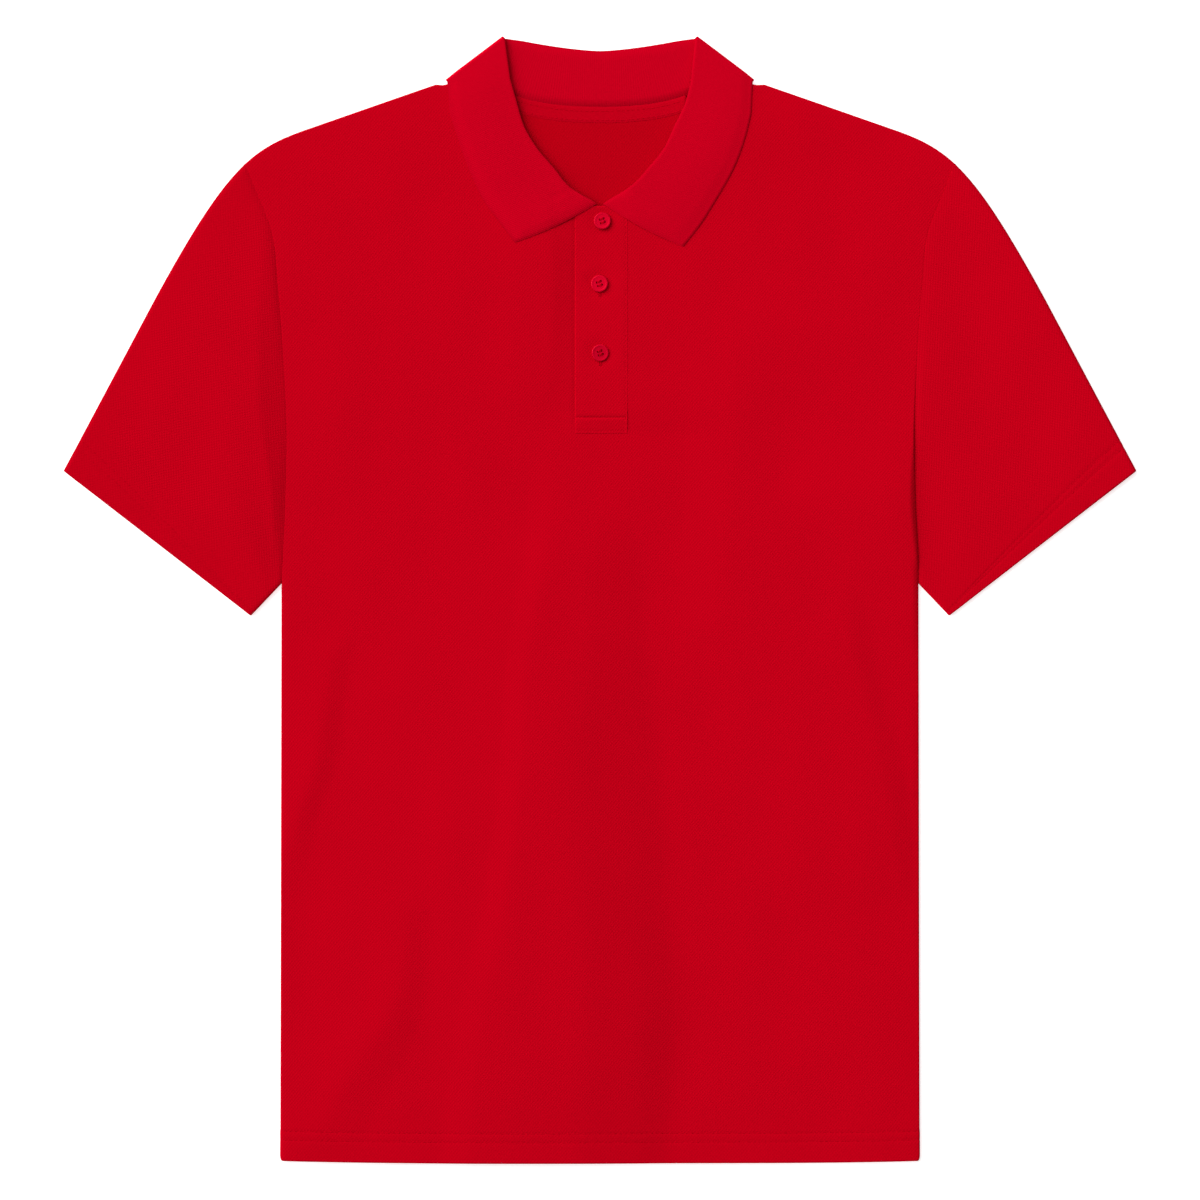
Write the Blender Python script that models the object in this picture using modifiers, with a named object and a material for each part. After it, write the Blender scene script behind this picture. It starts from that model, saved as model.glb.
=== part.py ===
"""A short-sleeved polo shirt laid flat on its back, in metres, +Z up.

X runs across the shirt and Y from its hem to its collar. The origin is on the surface that the shirt
lies on, under the middle of its outline. Every cut piece is a grid of points on the middle of its cloth,
thickened by a Solidify modifier, and the pieces lie 0.3 mm apart at their seams.
"""

from math import cos, pi, radians, sin, sqrt

import bmesh
import bpy
import numpy as np

# Cloth and the room between layers
KNIT = 0.0012
RIB = 0.0015
TAPE = 0.0010
PLACKET_CLOTH = 0.0018
GAP = 0.0003
PLACKET_GAP = 0.00047
SEAM_GAP = 0.00083
MOST_ROOM = 0.0052
SLEEVE_FLOOR = KNIT / 2 + 0.00008

# Body, flat: half widths and heights up the shirt
HEM_Y = -0.3828
HEM_BOW = 0.0015
HEM_CORNER = 0.0038
HEM_DEPTH = 0.0212
HEM_HALF = 0.2173
HEM_CORNER_CUT = 0.0018
CHEST_HALF = 0.2165
WIDEN_START = 0.1150
UNDERARM_Y = 0.0112
SHOULDER_POINT_Y = 0.2968

# Armhole seam, from underarm to shoulder point: height, half width
ARMHOLE_ROWS = (
    (UNDERARM_Y, CHEST_HALF),
    (0.0700, 0.2138),
    (0.1100, 0.2130),
    (0.1600, 0.2150),
    (0.2150, 0.2188),
    (0.2500, 0.2228),
    (0.2800, 0.2345),
    (SHOULDER_POINT_Y, 0.2411),
)

# Top outline: a straight shoulder, a curve over the sleeve head, and a straight sleeve
NECK_HALF = 0.0770
SHOULDER_SLOPE = 0.3465
SHOULDER_END = (0.2009, 0.3193)
HEAD_HANDLES = ((0.2378, 0.3065), (0.2549, 0.2918))
HEAD_END = (0.3029, 0.2037)
SLEEVE_OUTER = (0.3648, 0.0874)
SLEEVE_INNER = (0.2370, -0.0105)

# The shoulder's edge is drawn in where the collar folds round it: by how much, the place out from the
# centre where it starts, and the width over which it comes in
SHOULDER_TUCK = 0.0026
TUCK_START = 0.1120
TUCK_RUN = 0.0070

# Necklines: how far each falls below the shoulder-neck point, and how square its curve is
FRONT_NECK = {"depth": 0.0980, "power": 2.0}
BACK_NECK = {"depth": 0.0285, "power": 2.3}

# Placket and buttons
PLACKET_LEFT = -0.0167
PLACKET_RIGHT = 0.0187
PLACKET_BOTTOM = 0.1132
SLOT_INSET = 0.0025
UNDER_INSET = SLOT_INSET + 0.00036
BUTTON_RADIUS = 0.00575
BUTTON_THICK = 0.0022
BUTTON_GAP = 0.0004
BUTTON_TURN = radians(20)
BUTTON_PROFILE = (
    # share of the radius, share of the thickness
    (0.0, 0.60),
    (0.60, 0.60),
    (0.76, 1.0),
    (0.90, 1.0),
    (1.0, 0.70),
    (0.84, 0.0),
    (0.0, 0.0),
)
BUTTON_STEPS = 24
SHARP_ANGLE = radians(40)
THREAD_HOLE_RADIUS = 0.0008
THREAD_HOLE_STEP = 0.00125
THREAD_HOLE_SIDES = 8
BUTTONS = (
    # x, y, leans up and across the shirt
    (0.0016, 0.2573, radians(-5.0), radians(1.5)),
    (-0.0003, 0.2148, radians(-3.6), radians(-2.9)),
    (0.0001, 0.1678, radians(3.6), radians(2.9)),
)

# Collar: its front leaves, from the centre front to the side fold. Each row has a point of the roll
# line and the point of the outer edge that lies across from it
COLLAR_LEFT = (
    # roll x, roll y, edge x, edge y
    (-0.0012, 0.2695, -0.0577, 0.2429),
    (-0.0194, 0.2805, -0.0696, 0.2585),
    (-0.0309, 0.2941, -0.0792, 0.2717),
    (-0.0418, 0.3070, -0.0860, 0.2857),
    (-0.0507, 0.3220, -0.0921, 0.3004),
    (-0.0561, 0.3397, -0.0974, 0.3165),
    (-0.0602, 0.3543, -0.1017, 0.3298),
)
COLLAR_RIGHT = (
    (0.0012, 0.2695, 0.0565, 0.2400),
    (0.0205, 0.2815, 0.0685, 0.2553),
    (0.0325, 0.2940, 0.0790, 0.2720),
    (0.0430, 0.3075, 0.0875, 0.2865),
    (0.0500, 0.3225, 0.0938, 0.3000),
    (0.0570, 0.3370, 0.0989, 0.3150),
    (0.0610, 0.3520, 0.1025, 0.3295),
)
LEAF_SPAN = 0.84
LEAF_BASE_START = 0.975
LEAF_BASE_POWER = 1.6
COLLAR_PEAK = (0.0658, 0.3833)
COLLAR_CORNER = (0.1049, 0.3538)
SIDE_BASE_INSET = (0.0022, 0.0004)
BACK_SPAN = 0.86
BACK_BASE_POWER = 1.2
BACK_ROLL_HALF = 0.0610
BACK_ROLL_Y = 0.3737
BACK_ROLL_RISE = 0.0085
BACK_ROLL_POWER = 1.5
BACK_EDGE_HALF = 0.1000
BACK_EDGE_Y = 0.3247
BACK_EDGE_RISE = COLLAR_CORNER[1] - BACK_EDGE_Y
BACK_EDGE_POWER = 1.6
ROLL_RADIUS = 0.00105
FOLD_SQUASH = 0.75
NECK_ROOM = 0.0007
LEAF_ROOM = 0.0011
LEAF_EXTRA = 0.0003
SIDE_EXTRA = 0.0002
SETTLE_SHARE = 0.6

# The back panel climbs over the collar's back fall: how far below its edge, and over what length
LIFT_START = 0.0940
LIFT_RUN = 0.0680

# Neck tape: half its width, and how far its edges lie below the back neckline
TAPE_HALF = 0.0550
TAPE_EDGES = (0.0092, 0.0006)

# How far the front stands off the back: a low plateau that rolls down at the seams, over one short reach
# and one long one, and less room at the hem
BODY_LOFT = 0.0007
BODY_ROLL = 0.0042
EDGE_REACHES = (0.0042, 0.070)
EDGE_NEAR_SHARE = 0.6
HEM_ROOM = 0.0034
HEM_RISE = 0.085
NECK_FLAT = 0.008
NECK_FADE = 0.030
PLACKET_FLAT = 0.004
PLACKET_FADE = 0.010

# Room in a sleeve: more past the armhole seam, and most at one place up from its underarm
SLEEVE_AIR = 0.0004
SLEEVE_LOFT = 0.0005
SLEEVE_ROLL = 0.006
SLEEVE_UNDER_LENGTH = 0.040
SLEEVE_EXTRA_LENGTH = 0.215
SWELL_PLACE = 0.36
SWELL_SPREAD = 0.22
SLEEVE_EDGE_SHARE = 0.10

# Folds of the front, each a crest down the shirt with a flank on either side over which it falls away
FOLD_ROWS = (
    # x, y, height, left flank, right flank
    (
        # the main fold: long from the left, and steep on its right
        (-0.0040, 0.062, 0.0000, 0.200, 0.020),
        (-0.0100, 0.027, 0.0010, 0.260, 0.036),
        (-0.0115, -0.034, 0.0019, 0.340, 0.044),
        (-0.0125, -0.068, 0.0025, 0.400, 0.049),
        (-0.0140, -0.130, 0.0032, 0.420, 0.060),
        (-0.0150, -0.200, 0.0036, 0.420, 0.068),
        (-0.0145, -0.270, 0.0038, 0.420, 0.075),
        (-0.0170, -0.330, 0.0036, 0.420, 0.076),
        (-0.0215, -0.384, 0.0031, 0.420, 0.070),
        (-0.0250, -0.430, 0.0027, 0.420, 0.066),
    ),
    (
        # the narrow ridge left of it
        (-0.0295, 0.137, 0.0000, 0.014, 0.030),
        (-0.0310, 0.095, 0.0003, 0.018, 0.034),
        (-0.0340, 0.040, 0.0005, 0.019, 0.036),
        (-0.0460, -0.030, 0.0006, 0.018, 0.040),
        (-0.0520, -0.110, 0.0005, 0.018, 0.040),
        (-0.0620, -0.200, 0.0005, 0.019, 0.050),
        (-0.0780, -0.290, 0.0005, 0.022, 0.060),
        (-0.0860, -0.384, 0.0008, 0.026, 0.060),
        (-0.0900, -0.430, 0.0008, 0.026, 0.060),
    ),
    (
        # beside the left side seam
        (-0.1720, -0.010, 0.0000, 0.040, 0.014),
        (-0.1805, -0.034, 0.0005, 0.120, 0.015),
        (-0.1875, -0.068, 0.0008, 0.140, 0.016),
        (-0.1930, -0.109, 0.0009, 0.140, 0.016),
        (-0.2070, -0.150, 0.0008, 0.140, 0.014),
        (-0.2100, -0.190, 0.0000, 0.120, 0.010),
    ),
    (
        # beside the right side seam
        (0.1500, 0.035, 0.0000, 0.080, 0.016),
        (0.1660, -0.010, 0.0004, 0.090, 0.016),
        (0.1700, -0.034, 0.0006, 0.100, 0.017),
        (0.1790, -0.068, 0.0008, 0.110, 0.018),
        (0.1890, -0.109, 0.0008, 0.110, 0.018),
        (0.1970, -0.150, 0.0008, 0.110, 0.016),
        (0.2020, -0.190, 0.0004, 0.100, 0.012),
        (0.2050, -0.225, 0.0000, 0.090, 0.010),
    ),
    (
        # low on the left, turning towards the hem's corner
        (-0.1300, -0.185, 0.0000, 0.080, 0.018),
        (-0.1330, -0.230, 0.0006, 0.100, 0.018),
        (-0.1400, -0.270, 0.0009, 0.110, 0.024),
        (-0.1630, -0.310, 0.0012, 0.110, 0.034),
        (-0.1880, -0.350, 0.0011, 0.110, 0.036),
        (-0.2050, -0.400, 0.0000, 0.110, 0.030),
    ),
    (
        # left of the placket
        (-0.0380, 0.285, 0.0000, 0.100, 0.018),
        (-0.0360, 0.245, 0.0011, 0.120, 0.019),
        (-0.0340, 0.200, 0.0011, 0.120, 0.017),
        (-0.0360, 0.160, 0.0007, 0.100, 0.018),
        (-0.0440, 0.115, 0.0000, 0.080, 0.020),
    ),
    (
        # right of the placket
        (0.0850, 0.225, 0.0000, 0.036, 0.120),
        (0.0930, 0.170, 0.0009, 0.040, 0.130),
        (0.0930, 0.060, 0.0009, 0.042, 0.130),
        (0.0820, -0.030, 0.0007, 0.036, 0.120),
        (0.0800, -0.085, 0.0000, 0.030, 0.100),
    ),
)
# The front rises towards the right armhole, and turns down steeply to its seam
ARMHOLE_FOLD = (
    (
        (0.2270, 0.310, 0.0000, 0.060, 0.060),
        (0.2250, 0.220, 0.0003, 0.060, 0.060),
        (0.2200, 0.170, 0.0005, 0.065, 0.060),
        (0.2160, 0.130, 0.0018, 0.080, 0.060),
        (0.2150, 0.090, 0.0029, 0.100, 0.060),
        (0.2160, 0.050, 0.0026, 0.110, 0.060),
        (0.2170, 0.015, 0.0014, 0.110, 0.060),
        (0.2180, -0.020, 0.0000, 0.090, 0.060),
    ),
)
FOLD_FADE = 0.14

# Sections
SIDE_COLUMNS = (0.1115, 0.100, 0.070, 0.045, 0.026, 0.014, 0.006, 0.0)
NECK_COLUMNS = (0.0300, 0.0440, 0.0560, 0.0670, 0.0742)
YOKE_START = 0.200
SKIRT_ROWS = 14
CHEST_ROWS = 4
PLACKET_ROWS = 3
YOKE_ROWS = 6
SLEEVE_STATIONS = 11
SLEEVE_CROWDING = 1.35
TURN_STEPS = 4
LEAF_STATIONS = 9
BACK_STATIONS = 6
LEAF_STEPS = 5
FOLD_STATIONS = 7
HEAD_POINTS = 24
STRIP_COLUMNS = 4
TOP_STRIP_ROWS = 10
UNDER_STRIP_ROWS = 9
TAPE_COLUMNS = 15
TAPE_ROWS = 3


# ---------------------------------------------------------------- curves


def smoothstep(t):
    t = np.clip(t, 0.0, 1.0)
    return t * t * (3.0 - 2.0 * t)


def through(knots, values, at):
    """A smooth curve through a table's rows, read at any place between them."""
    knots = np.asarray(knots, float)
    values = np.asarray(values, float)
    slopes = np.gradient(values, knots, axis=0)
    at = np.clip(at, knots[0], knots[-1])
    row = np.clip(np.searchsorted(knots, at, side="right") - 1, 0, len(knots) - 2)
    span = knots[row + 1] - knots[row]
    t = (at - knots[row]) / span
    if values.ndim > 1:
        span = span[..., None]
        t = t[..., None]
    start = values[row] * (1 + 2 * t) * (1 - t) ** 2 + slopes[row] * span * t * (1 - t) ** 2
    end = values[row + 1] * t * t * (3 - 2 * t) - slopes[row + 1] * span * t * t * (1 - t)
    return start + end


def bezier(start, first, second, end, t):
    t = np.asarray(t, float)[:, None]
    start, first, second, end = (np.array(point, float) for point in (start, first, second, end))
    near = (1 - t) ** 3 * start + 3 * (1 - t) ** 2 * t * first
    return near + 3 * (1 - t) * t * t * second + t**3 * end


def arc_shares(points):
    """How far along a chain of points each of them lies, as shares of its length."""
    steps = np.linalg.norm(np.diff(points, axis=0), axis=1)
    return np.concatenate([[0.0], np.cumsum(steps)]) / steps.sum()


def along(points, t):
    """Points at shares t of the way along a chain of points."""
    share = arc_shares(points)
    return np.stack([np.interp(t, share, points[:, axis]) for axis in (0, 1)], axis=-1)


# ---------------------------------------------------------------- outline

NECK_POINT_Y = SHOULDER_END[1] + (SHOULDER_END[0] - NECK_HALF) * SHOULDER_SLOPE
TOP_OUTLINE = np.concatenate(
    [
        [(NECK_HALF, NECK_POINT_Y)],
        bezier(SHOULDER_END, *HEAD_HANDLES, HEAD_END, np.linspace(0.0, 1.0, HEAD_POINTS)),
        [SLEEVE_OUTER],
    ]
)


def neck_y(x, depth, power):
    inside = 1 - np.clip(np.abs(x) / NECK_HALF, 0.0, 1.0) ** power
    return NECK_POINT_Y - depth * inside ** (1 / power)


def shoulder_y(x):
    """The shoulder's edge, drawn in a little where the collar folds round it."""
    line = np.interp(np.abs(x), TOP_OUTLINE[:, 0], TOP_OUTLINE[:, 1])
    return line - SHOULDER_TUCK * smoothstep((TUCK_START - np.abs(x)) / TUCK_RUN)


def top_y(x, neck):
    return np.where(np.abs(x) < NECK_HALF, neck_y(x, **neck), shoulder_y(x))


def hem_y(x):
    return HEM_Y + HEM_BOW * (np.abs(x) / HEM_HALF) ** 4


def half_width(y):
    rows = ((HEM_Y, HEM_HALF - HEM_CORNER_CUT), (HEM_Y + HEM_CORNER, HEM_HALF)) + ARMHOLE_ROWS
    side = np.interp(y, [row[0] for row in rows], [row[1] for row in rows])
    armhole = through([row[0] for row in ARMHOLE_ROWS], [row[1] for row in ARMHOLE_ROWS], y)
    return np.where(y > UNDERARM_Y, armhole, side)


# ---------------------------------------------------------------- heights


def back_lift(x, y):
    """The back panel lies on the surface, and climbs over the back of the collar near the neck."""
    edge = BACK_EDGE_Y + BACK_EDGE_RISE * (np.abs(x) / COLLAR_CORNER[0]) ** BACK_EDGE_POWER
    return (RIB + GAP) * smoothstep((y - edge + LIFT_START) / LIFT_RUN)


def edge_distance(x, y):
    """How far inside the seam at the side, armhole or shoulder."""
    from_side = half_width(np.minimum(y, SHOULDER_POINT_Y)) - np.abs(x)
    from_shoulder = (shoulder_y(np.maximum(np.abs(x), NECK_HALF)) - y) / sqrt(1 + SHOULDER_SLOPE**2)
    return np.minimum(from_side, from_shoulder)


def roll_share(distance, reach):
    """0 on a seam, and 1 where the front is clear of it."""
    return 1.0 - (1.0 - np.clip(distance / reach, 0.0, 1.0)) ** 2


def neck_share(x, y):
    """1 beside the front neckline, where the collar's stand is sewn on, fading outwards."""
    across = np.abs(x) / NECK_HALF
    down = np.clip((NECK_POINT_Y - y) / FRONT_NECK["depth"], 0.0, None)
    outside = (np.sqrt(across**2 + down**2) - 1) * NECK_HALF
    return 1 - smoothstep((outside - NECK_FLAT) / NECK_FADE)


def fold_height(x, y, folds):
    """The sum of the folds: each falls from its crest to nothing over its two flanks."""
    total = np.zeros_like(x)
    for rows in folds:
        table = np.array(rows)[::-1]
        crest, height, left, right = (through(table[:, 1], table[:, k], y) for k in (0, 2, 3, 4))
        away = x - crest
        flank = np.where(away < 0, left, right)
        shape = 0.5 + 0.5 * np.cos(pi * np.clip(np.abs(away) / flank, 0.0, 1.0))
        t = (y - table[0, 1]) / (table[-1, 1] - table[0, 1])
        shape = shape * ((t > 0) & (t < 1))
        for end, share in ((0, t), (-1, 1 - t)):
            if table[end, 2] == 0.0:
                shape = shape * smoothstep(share / FOLD_FADE)
        total += np.maximum(height, 0.0) * shape
    return total


def front_room(x, y):
    """The room between the front panel and the back panel."""
    distance = edge_distance(x, y)
    near, wide = (roll_share(distance, reach) for reach in EDGE_REACHES)
    roll = roll_share(distance, BODY_ROLL)
    room = BODY_LOFT * (EDGE_NEAR_SHARE * near + (1 - EDGE_NEAR_SHARE) * wide)
    room = room + roll * (fold_height(x, y, FOLD_ROWS) + fold_height(x, y, ARMHOLE_FOLD))
    at_neck = neck_share(x, y)
    room = room + (1 - roll) * at_neck * NECK_ROOM
    room = room * (1 - at_neck) + at_neck * np.maximum(room, NECK_ROOM)
    most = HEM_ROOM + (MOST_ROOM - HEM_ROOM) * smoothstep((y - hem_y(x)) / HEM_RISE)
    return GAP + np.minimum(room, most)


def back_middle(x, y):
    return back_lift(x, y) + KNIT / 2


def front_middle(x, y):
    return back_lift(x, y) + KNIT + front_room(x, y) + KNIT / 2


def front_top(x, y):
    return front_middle(x, y) + KNIT / 2


# ---------------------------------------------------------------- objects


def clear_scene():
    for obj in list(bpy.data.objects):
        bpy.data.objects.remove(obj, do_unlink=True)


def material(name, colour, roughness):
    made = bpy.data.materials.new(name)
    made.use_nodes = True
    shader = made.node_tree.nodes["Principled BSDF"]
    shader.inputs["Base Color"].default_value = (*colour, 1.0)
    shader.inputs["Roughness"].default_value = roughness
    shader.inputs["Metallic"].default_value = 0.0
    return made


def add_object(name, mesh, finish, collection):
    mesh.materials.append(finish)
    mesh.shade_smooth()
    mesh.set_sharp_from_angle(angle=SHARP_ANGLE)
    obj = bpy.data.objects.new(name, mesh)
    collection.objects.link(obj)
    return obj


def add_cloth(name, grid, thickness, finish, collection, ring=False, holes=None, even=True):
    """A wall on a grid of middle points. A ring joins its last column to its first."""
    rows, columns = grid.shape[:2]
    shape = bmesh.new()
    points = [[shape.verts.new(place) for place in row] for row in grid]
    for i in range(rows - 1):
        for j in range(columns if ring else columns - 1):
            if holes is not None and holes[i, j]:
                continue
            k = (j + 1) % columns
            shape.faces.new((points[i][j], points[i][k], points[i + 1][k], points[i + 1][j]))
    loose = [point for point in shape.verts if not point.link_faces]
    bmesh.ops.delete(shape, geom=loose, context="VERTS")
    mesh = bpy.data.meshes.new(name)
    shape.to_mesh(mesh)
    shape.free()
    obj = add_object(name, mesh, finish, collection)
    wall = obj.modifiers.new("Cloth", "SOLIDIFY")
    wall.thickness = thickness
    wall.offset = 0.0
    wall.use_even_offset = even
    return obj


# ---------------------------------------------------------------- panels


def panel_columns():
    """Column places across a panel, with one on each edge of the slot and at each end of the neck."""
    right = NECK_COLUMNS + (NECK_HALF,) + tuple(CHEST_HALF - inset for inset in SIDE_COLUMNS)
    left = tuple(-place for place in reversed(right))
    return np.array(left + (PLACKET_LEFT + SLOT_INSET, 0.0, PLACKET_RIGHT - SLOT_INSET) + right)


def panel_rows():
    """Row levels: 0 to 1 from the hem to the yoke's start, and 1 to 2 from there to the top edge. One
    row ends the side seam, and one is the bottom of the placket's slot."""
    slot = PLACKET_BOTTOM + SLOT_INSET
    skirt = np.linspace(HEM_Y + HEM_DEPTH, UNDERARM_Y, SKIRT_ROWS + 1)
    chest = np.linspace(UNDERARM_Y, slot, CHEST_ROWS + 1)[1:]
    placket = np.linspace(slot, YOKE_START, PLACKET_ROWS + 1)[1:]
    heights = np.concatenate([[HEM_Y, HEM_Y + HEM_CORNER], skirt, chest, placket])
    yoke = np.linspace(1.0, 2.0, YOKE_ROWS + 1)[1:]
    return np.concatenate([(heights - HEM_Y) / (YOKE_START - HEM_Y), yoke])


def side_heights_of(levels):
    """Heights of the rows where they end at the side seam and the armhole."""
    below = HEM_Y + (YOKE_START - HEM_Y) * levels
    above = YOKE_START + (SHOULDER_POINT_Y - YOKE_START) * (levels - 1.0)
    return np.where(levels <= 1.0, below, above)


def armhole_points():
    """The armhole seam's points, from underarm to shoulder point, one on each row of the panels."""
    y = side_heights_of(panel_rows())
    y = y[y > UNDERARM_Y - 1e-6]
    return np.stack([half_width(y), y], axis=-1)


def neck_points(neck):
    """A neckline's points, from the shoulder-neck point to the centre, one on each column."""
    x = np.array((0.0, PLACKET_RIGHT - SLOT_INSET) + NECK_COLUMNS + (NECK_HALF,))[::-1]
    return np.stack([x, neck_y(x, **neck)], axis=-1)


def panel_grid(levels, neck):
    """Plan points of a panel: rows that follow the hem below and the neck and shoulders above."""
    columns = panel_columns()
    top_share = np.clip(levels - 1.0, 0.0, 1.0)
    side_y = side_heights_of(levels)
    outer = np.clip((np.abs(columns) - WIDEN_START) / (CHEST_HALF - WIDEN_START), 0.0, 1.0)
    widen = (half_width(side_y) - CHEST_HALF)[:, None] * (outer * np.sign(columns))[None, :]
    x = columns[None, :] + widen
    low = hem_y(x) + (YOKE_START - hem_y(x)) * np.minimum(levels, 1.0)[:, None]
    top = top_y(x[-1], neck)[None, :]
    high = YOKE_START + (top - YOKE_START) * top_share[:, None]
    return x, np.where(levels[:, None] <= 1.0, low, high)


def add_back(finish, collection):
    x, y = panel_grid(panel_rows(), BACK_NECK)
    grid = np.stack([x, y, back_middle(x, y)], axis=-1)
    return add_cloth("back", grid, KNIT, finish, collection)


def add_front(finish, collection):
    x, y = panel_grid(panel_rows(), FRONT_NECK)
    grid = np.stack([x, y, front_middle(x, y)], axis=-1)
    middle_x = (x[:-1, :-1] + x[1:, 1:]) / 2
    middle_y = (y[:-1, :-1] + y[1:, 1:]) / 2
    inside = (middle_x > PLACKET_LEFT + SLOT_INSET) & (middle_x < PLACKET_RIGHT - SLOT_INSET)
    slot = inside & (middle_y > PLACKET_BOTTOM + SLOT_INSET)
    return add_cloth("front", grid, KNIT, finish, collection, holes=slot)


# ---------------------------------------------------------------- sleeves


def sleeve_plan(u, v):
    """Plan point of a right sleeve: u runs from armhole to hem and v from underarm to top fold."""
    armhole = armhole_points() + np.array([SEAM_GAP, 0.0])
    shoulder = armhole[-1]
    past = TOP_OUTLINE[TOP_OUTLINE[:, 0] > shoulder[0]]
    top = np.concatenate([[shoulder], past])
    underarm = armhole[0]
    hem = np.array([SLEEVE_INNER, SLEEVE_OUTER])
    seam = np.array([underarm, SLEEVE_INNER])
    u2, v2 = u[..., None], v[..., None]
    across = (1 - v2) * along(seam, u) + v2 * along(top, u)
    up = (1 - u2) * along(armhole, v) + u2 * along(hem, v)
    corners = (1 - u2) * ((1 - v2) * underarm + v2 * shoulder) + u2 * ((1 - v2) * hem[0] + v2 * hem[1])
    return across + up - corners


def sleeve_room(u, v):
    """Room inside the flat sleeve: least at the armhole seam, most a hand's breadth past it."""
    reach = SLEEVE_UNDER_LENGTH + SLEEVE_EXTRA_LENGTH * v
    from_seam = 1 - (1 - np.clip(u * reach / SLEEVE_ROLL, 0.0, 1.0)) ** 2
    swell = 1 + np.exp(-(((v - SWELL_PLACE) / SWELL_SPREAD) ** 2)) * (1 - u)
    edge = np.sqrt(np.clip(np.minimum(v, 1 - v) / SLEEVE_EDGE_SHARE, 0.0, 1.0))
    return GAP + from_seam * (SLEEVE_AIR + SLEEVE_LOFT * swell * edge)


def sleeve_ring(u):
    """One section of a sleeve: its lower wall, the turn at the top fold, its upper wall, and the turn
    at the underarm."""
    ends = sleeve_plan(np.full(2, u), np.array([0.0, 1.0]))
    width = np.linalg.norm(ends[1] - ends[0])
    room = sleeve_room(np.full(2, u), np.array([0.0, 1.0]))
    radius = (KNIT + room) / 2
    inset = (KNIT / 2 + radius * FOLD_SQUASH) / width
    v = arc_shares(armhole_points())
    v[0], v[-1] = inset[0], 1 - inset[1]
    flat = sleeve_plan(np.full_like(v, u), v)
    lower = [(x, y, SLEEVE_FLOOR) for x, y in flat]
    rise = KNIT + sleeve_room(np.full_like(v, u), v)
    rise[0], rise[-1] = 2 * radius
    upper = [(x, y, SLEEVE_FLOOR + z) for (x, y), z in zip(flat, rise)]
    over_top = turn_points(flat[-1], flat[-1] - flat[-2], radius[1])
    under_arm = turn_points(flat[0], flat[0] - flat[1], radius[0])
    return lower + over_top + upper[::-1] + under_arm[::-1]


def turn_points(centre, outward, radius):
    """Points between a flat tube's lower and upper wall, where its cloth turns over an edge."""
    outward = outward / np.linalg.norm(outward)
    turn = []
    for step in range(1, TURN_STEPS):
        angle = -pi / 2 + pi * step / TURN_STEPS
        place = centre + outward * radius * FOLD_SQUASH * cos(angle)
        turn.append((*place, SLEEVE_FLOOR + radius + radius * sin(angle)))
    return turn


def add_sleeve(name, side, finish, collection):
    stations = np.linspace(0.0, 1.0, SLEEVE_STATIONS) ** SLEEVE_CROWDING
    grid = np.array([sleeve_ring(u) for u in stations])
    grid[..., 0] *= side
    return add_cloth(name, grid, KNIT, finish, collection, ring=True)


# ---------------------------------------------------------------- collar


def inside_neck(share, neck):
    """A point a seam's gap inside a neckline, by its share of the way down from the shoulder."""
    place = along(neck_points(neck), np.array(share))
    inward = np.array([0.0, NECK_POINT_Y]) - place
    return place + inward / np.linalg.norm(inward) * 2 * GAP


def placket_share(x, y):
    """1 on the top placket, falling to 0 within a few millimetres of it."""
    beside = np.maximum(PLACKET_LEFT - x, x - PLACKET_RIGHT)
    past = np.maximum(y - neck_y(x, **FRONT_NECK), PLACKET_BOTTOM - y)
    return 1 - smoothstep((np.maximum(beside, past) - PLACKET_FLAT) / PLACKET_FADE)


def chest_top(x, y):
    """The upper face of what the collar lies on: the front panel, and its placket."""
    return front_top(x, y) + placket_share(x, y) * (PLACKET_GAP + PLACKET_CLOTH)


def section(base, stand, fall, edge, forward):
    """One section of the collar: up the stand, over the roll, and down the fall to its edge."""
    middle = (stand + fall) / 2
    half = (fall - stand) / 2
    reach = np.linalg.norm(half)
    points = [base, (base + stand) / 2]
    for step in range(TURN_STEPS + 1):
        angle = pi * step / TURN_STEPS
        points.append(middle - half * cos(angle) + forward * reach * sin(angle))
    for step in range(1, LEAF_STEPS + 1):
        points.append(fall + (edge - fall) * step / LEAF_STEPS)
    return points


def leaf_sections(rows, side):
    """Sections of a front leaf, from the centre front to the side fold, settled on the chest."""
    stations = np.linspace(0.0, LEAF_SPAN, LEAF_STATIONS)
    plan = through(np.linspace(0.0, LEAF_SPAN, len(rows)), rows, stations)
    roll, edge = plan[:, :2], plan[:, 2:]
    forward = (roll - edge) / np.linalg.norm(roll - edge, axis=1, keepdims=True)
    rest = LEAF_ROOM + RIB / 2
    roll_z = chest_top(roll[:, 0], roll[:, 1]) + rest + LEAF_EXTRA
    sections = []
    for k, t in enumerate(stations):
        base_x, base_y = inside_neck(LEAF_BASE_START * (1 - t) ** LEAF_BASE_POWER, FRONT_NECK)
        base_z = front_middle(np.array(side * base_x), np.array(base_y)) + (RIB - KNIT) / 2
        base = np.array([side * base_x, base_y, base_z])
        fall = np.array([*(roll[k] - forward[k] * (ROLL_RADIUS + RIB / 2)), roll_z[k]])
        stand = fall - np.array([0.0, 0.0, 2 * ROLL_RADIUS])
        end = np.array([*edge[k], roll_z[k]])
        sections.append(section(base, stand, fall, end, np.array([*forward[k], 0.0])))
    leaf = np.array(sections)
    fall = leaf[:, -LEAF_STEPS - 1 :]
    down = np.linspace(0.0, 1.0, LEAF_STEPS + 1)[None, :]
    low = chest_top(fall[..., 0], fall[..., 1]) + rest
    fall[..., 2] = low + (fall[:, :1, 2] - low[:, :1]) * (1 - smoothstep(down / SETTLE_SHARE))
    return list(leaf)


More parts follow.
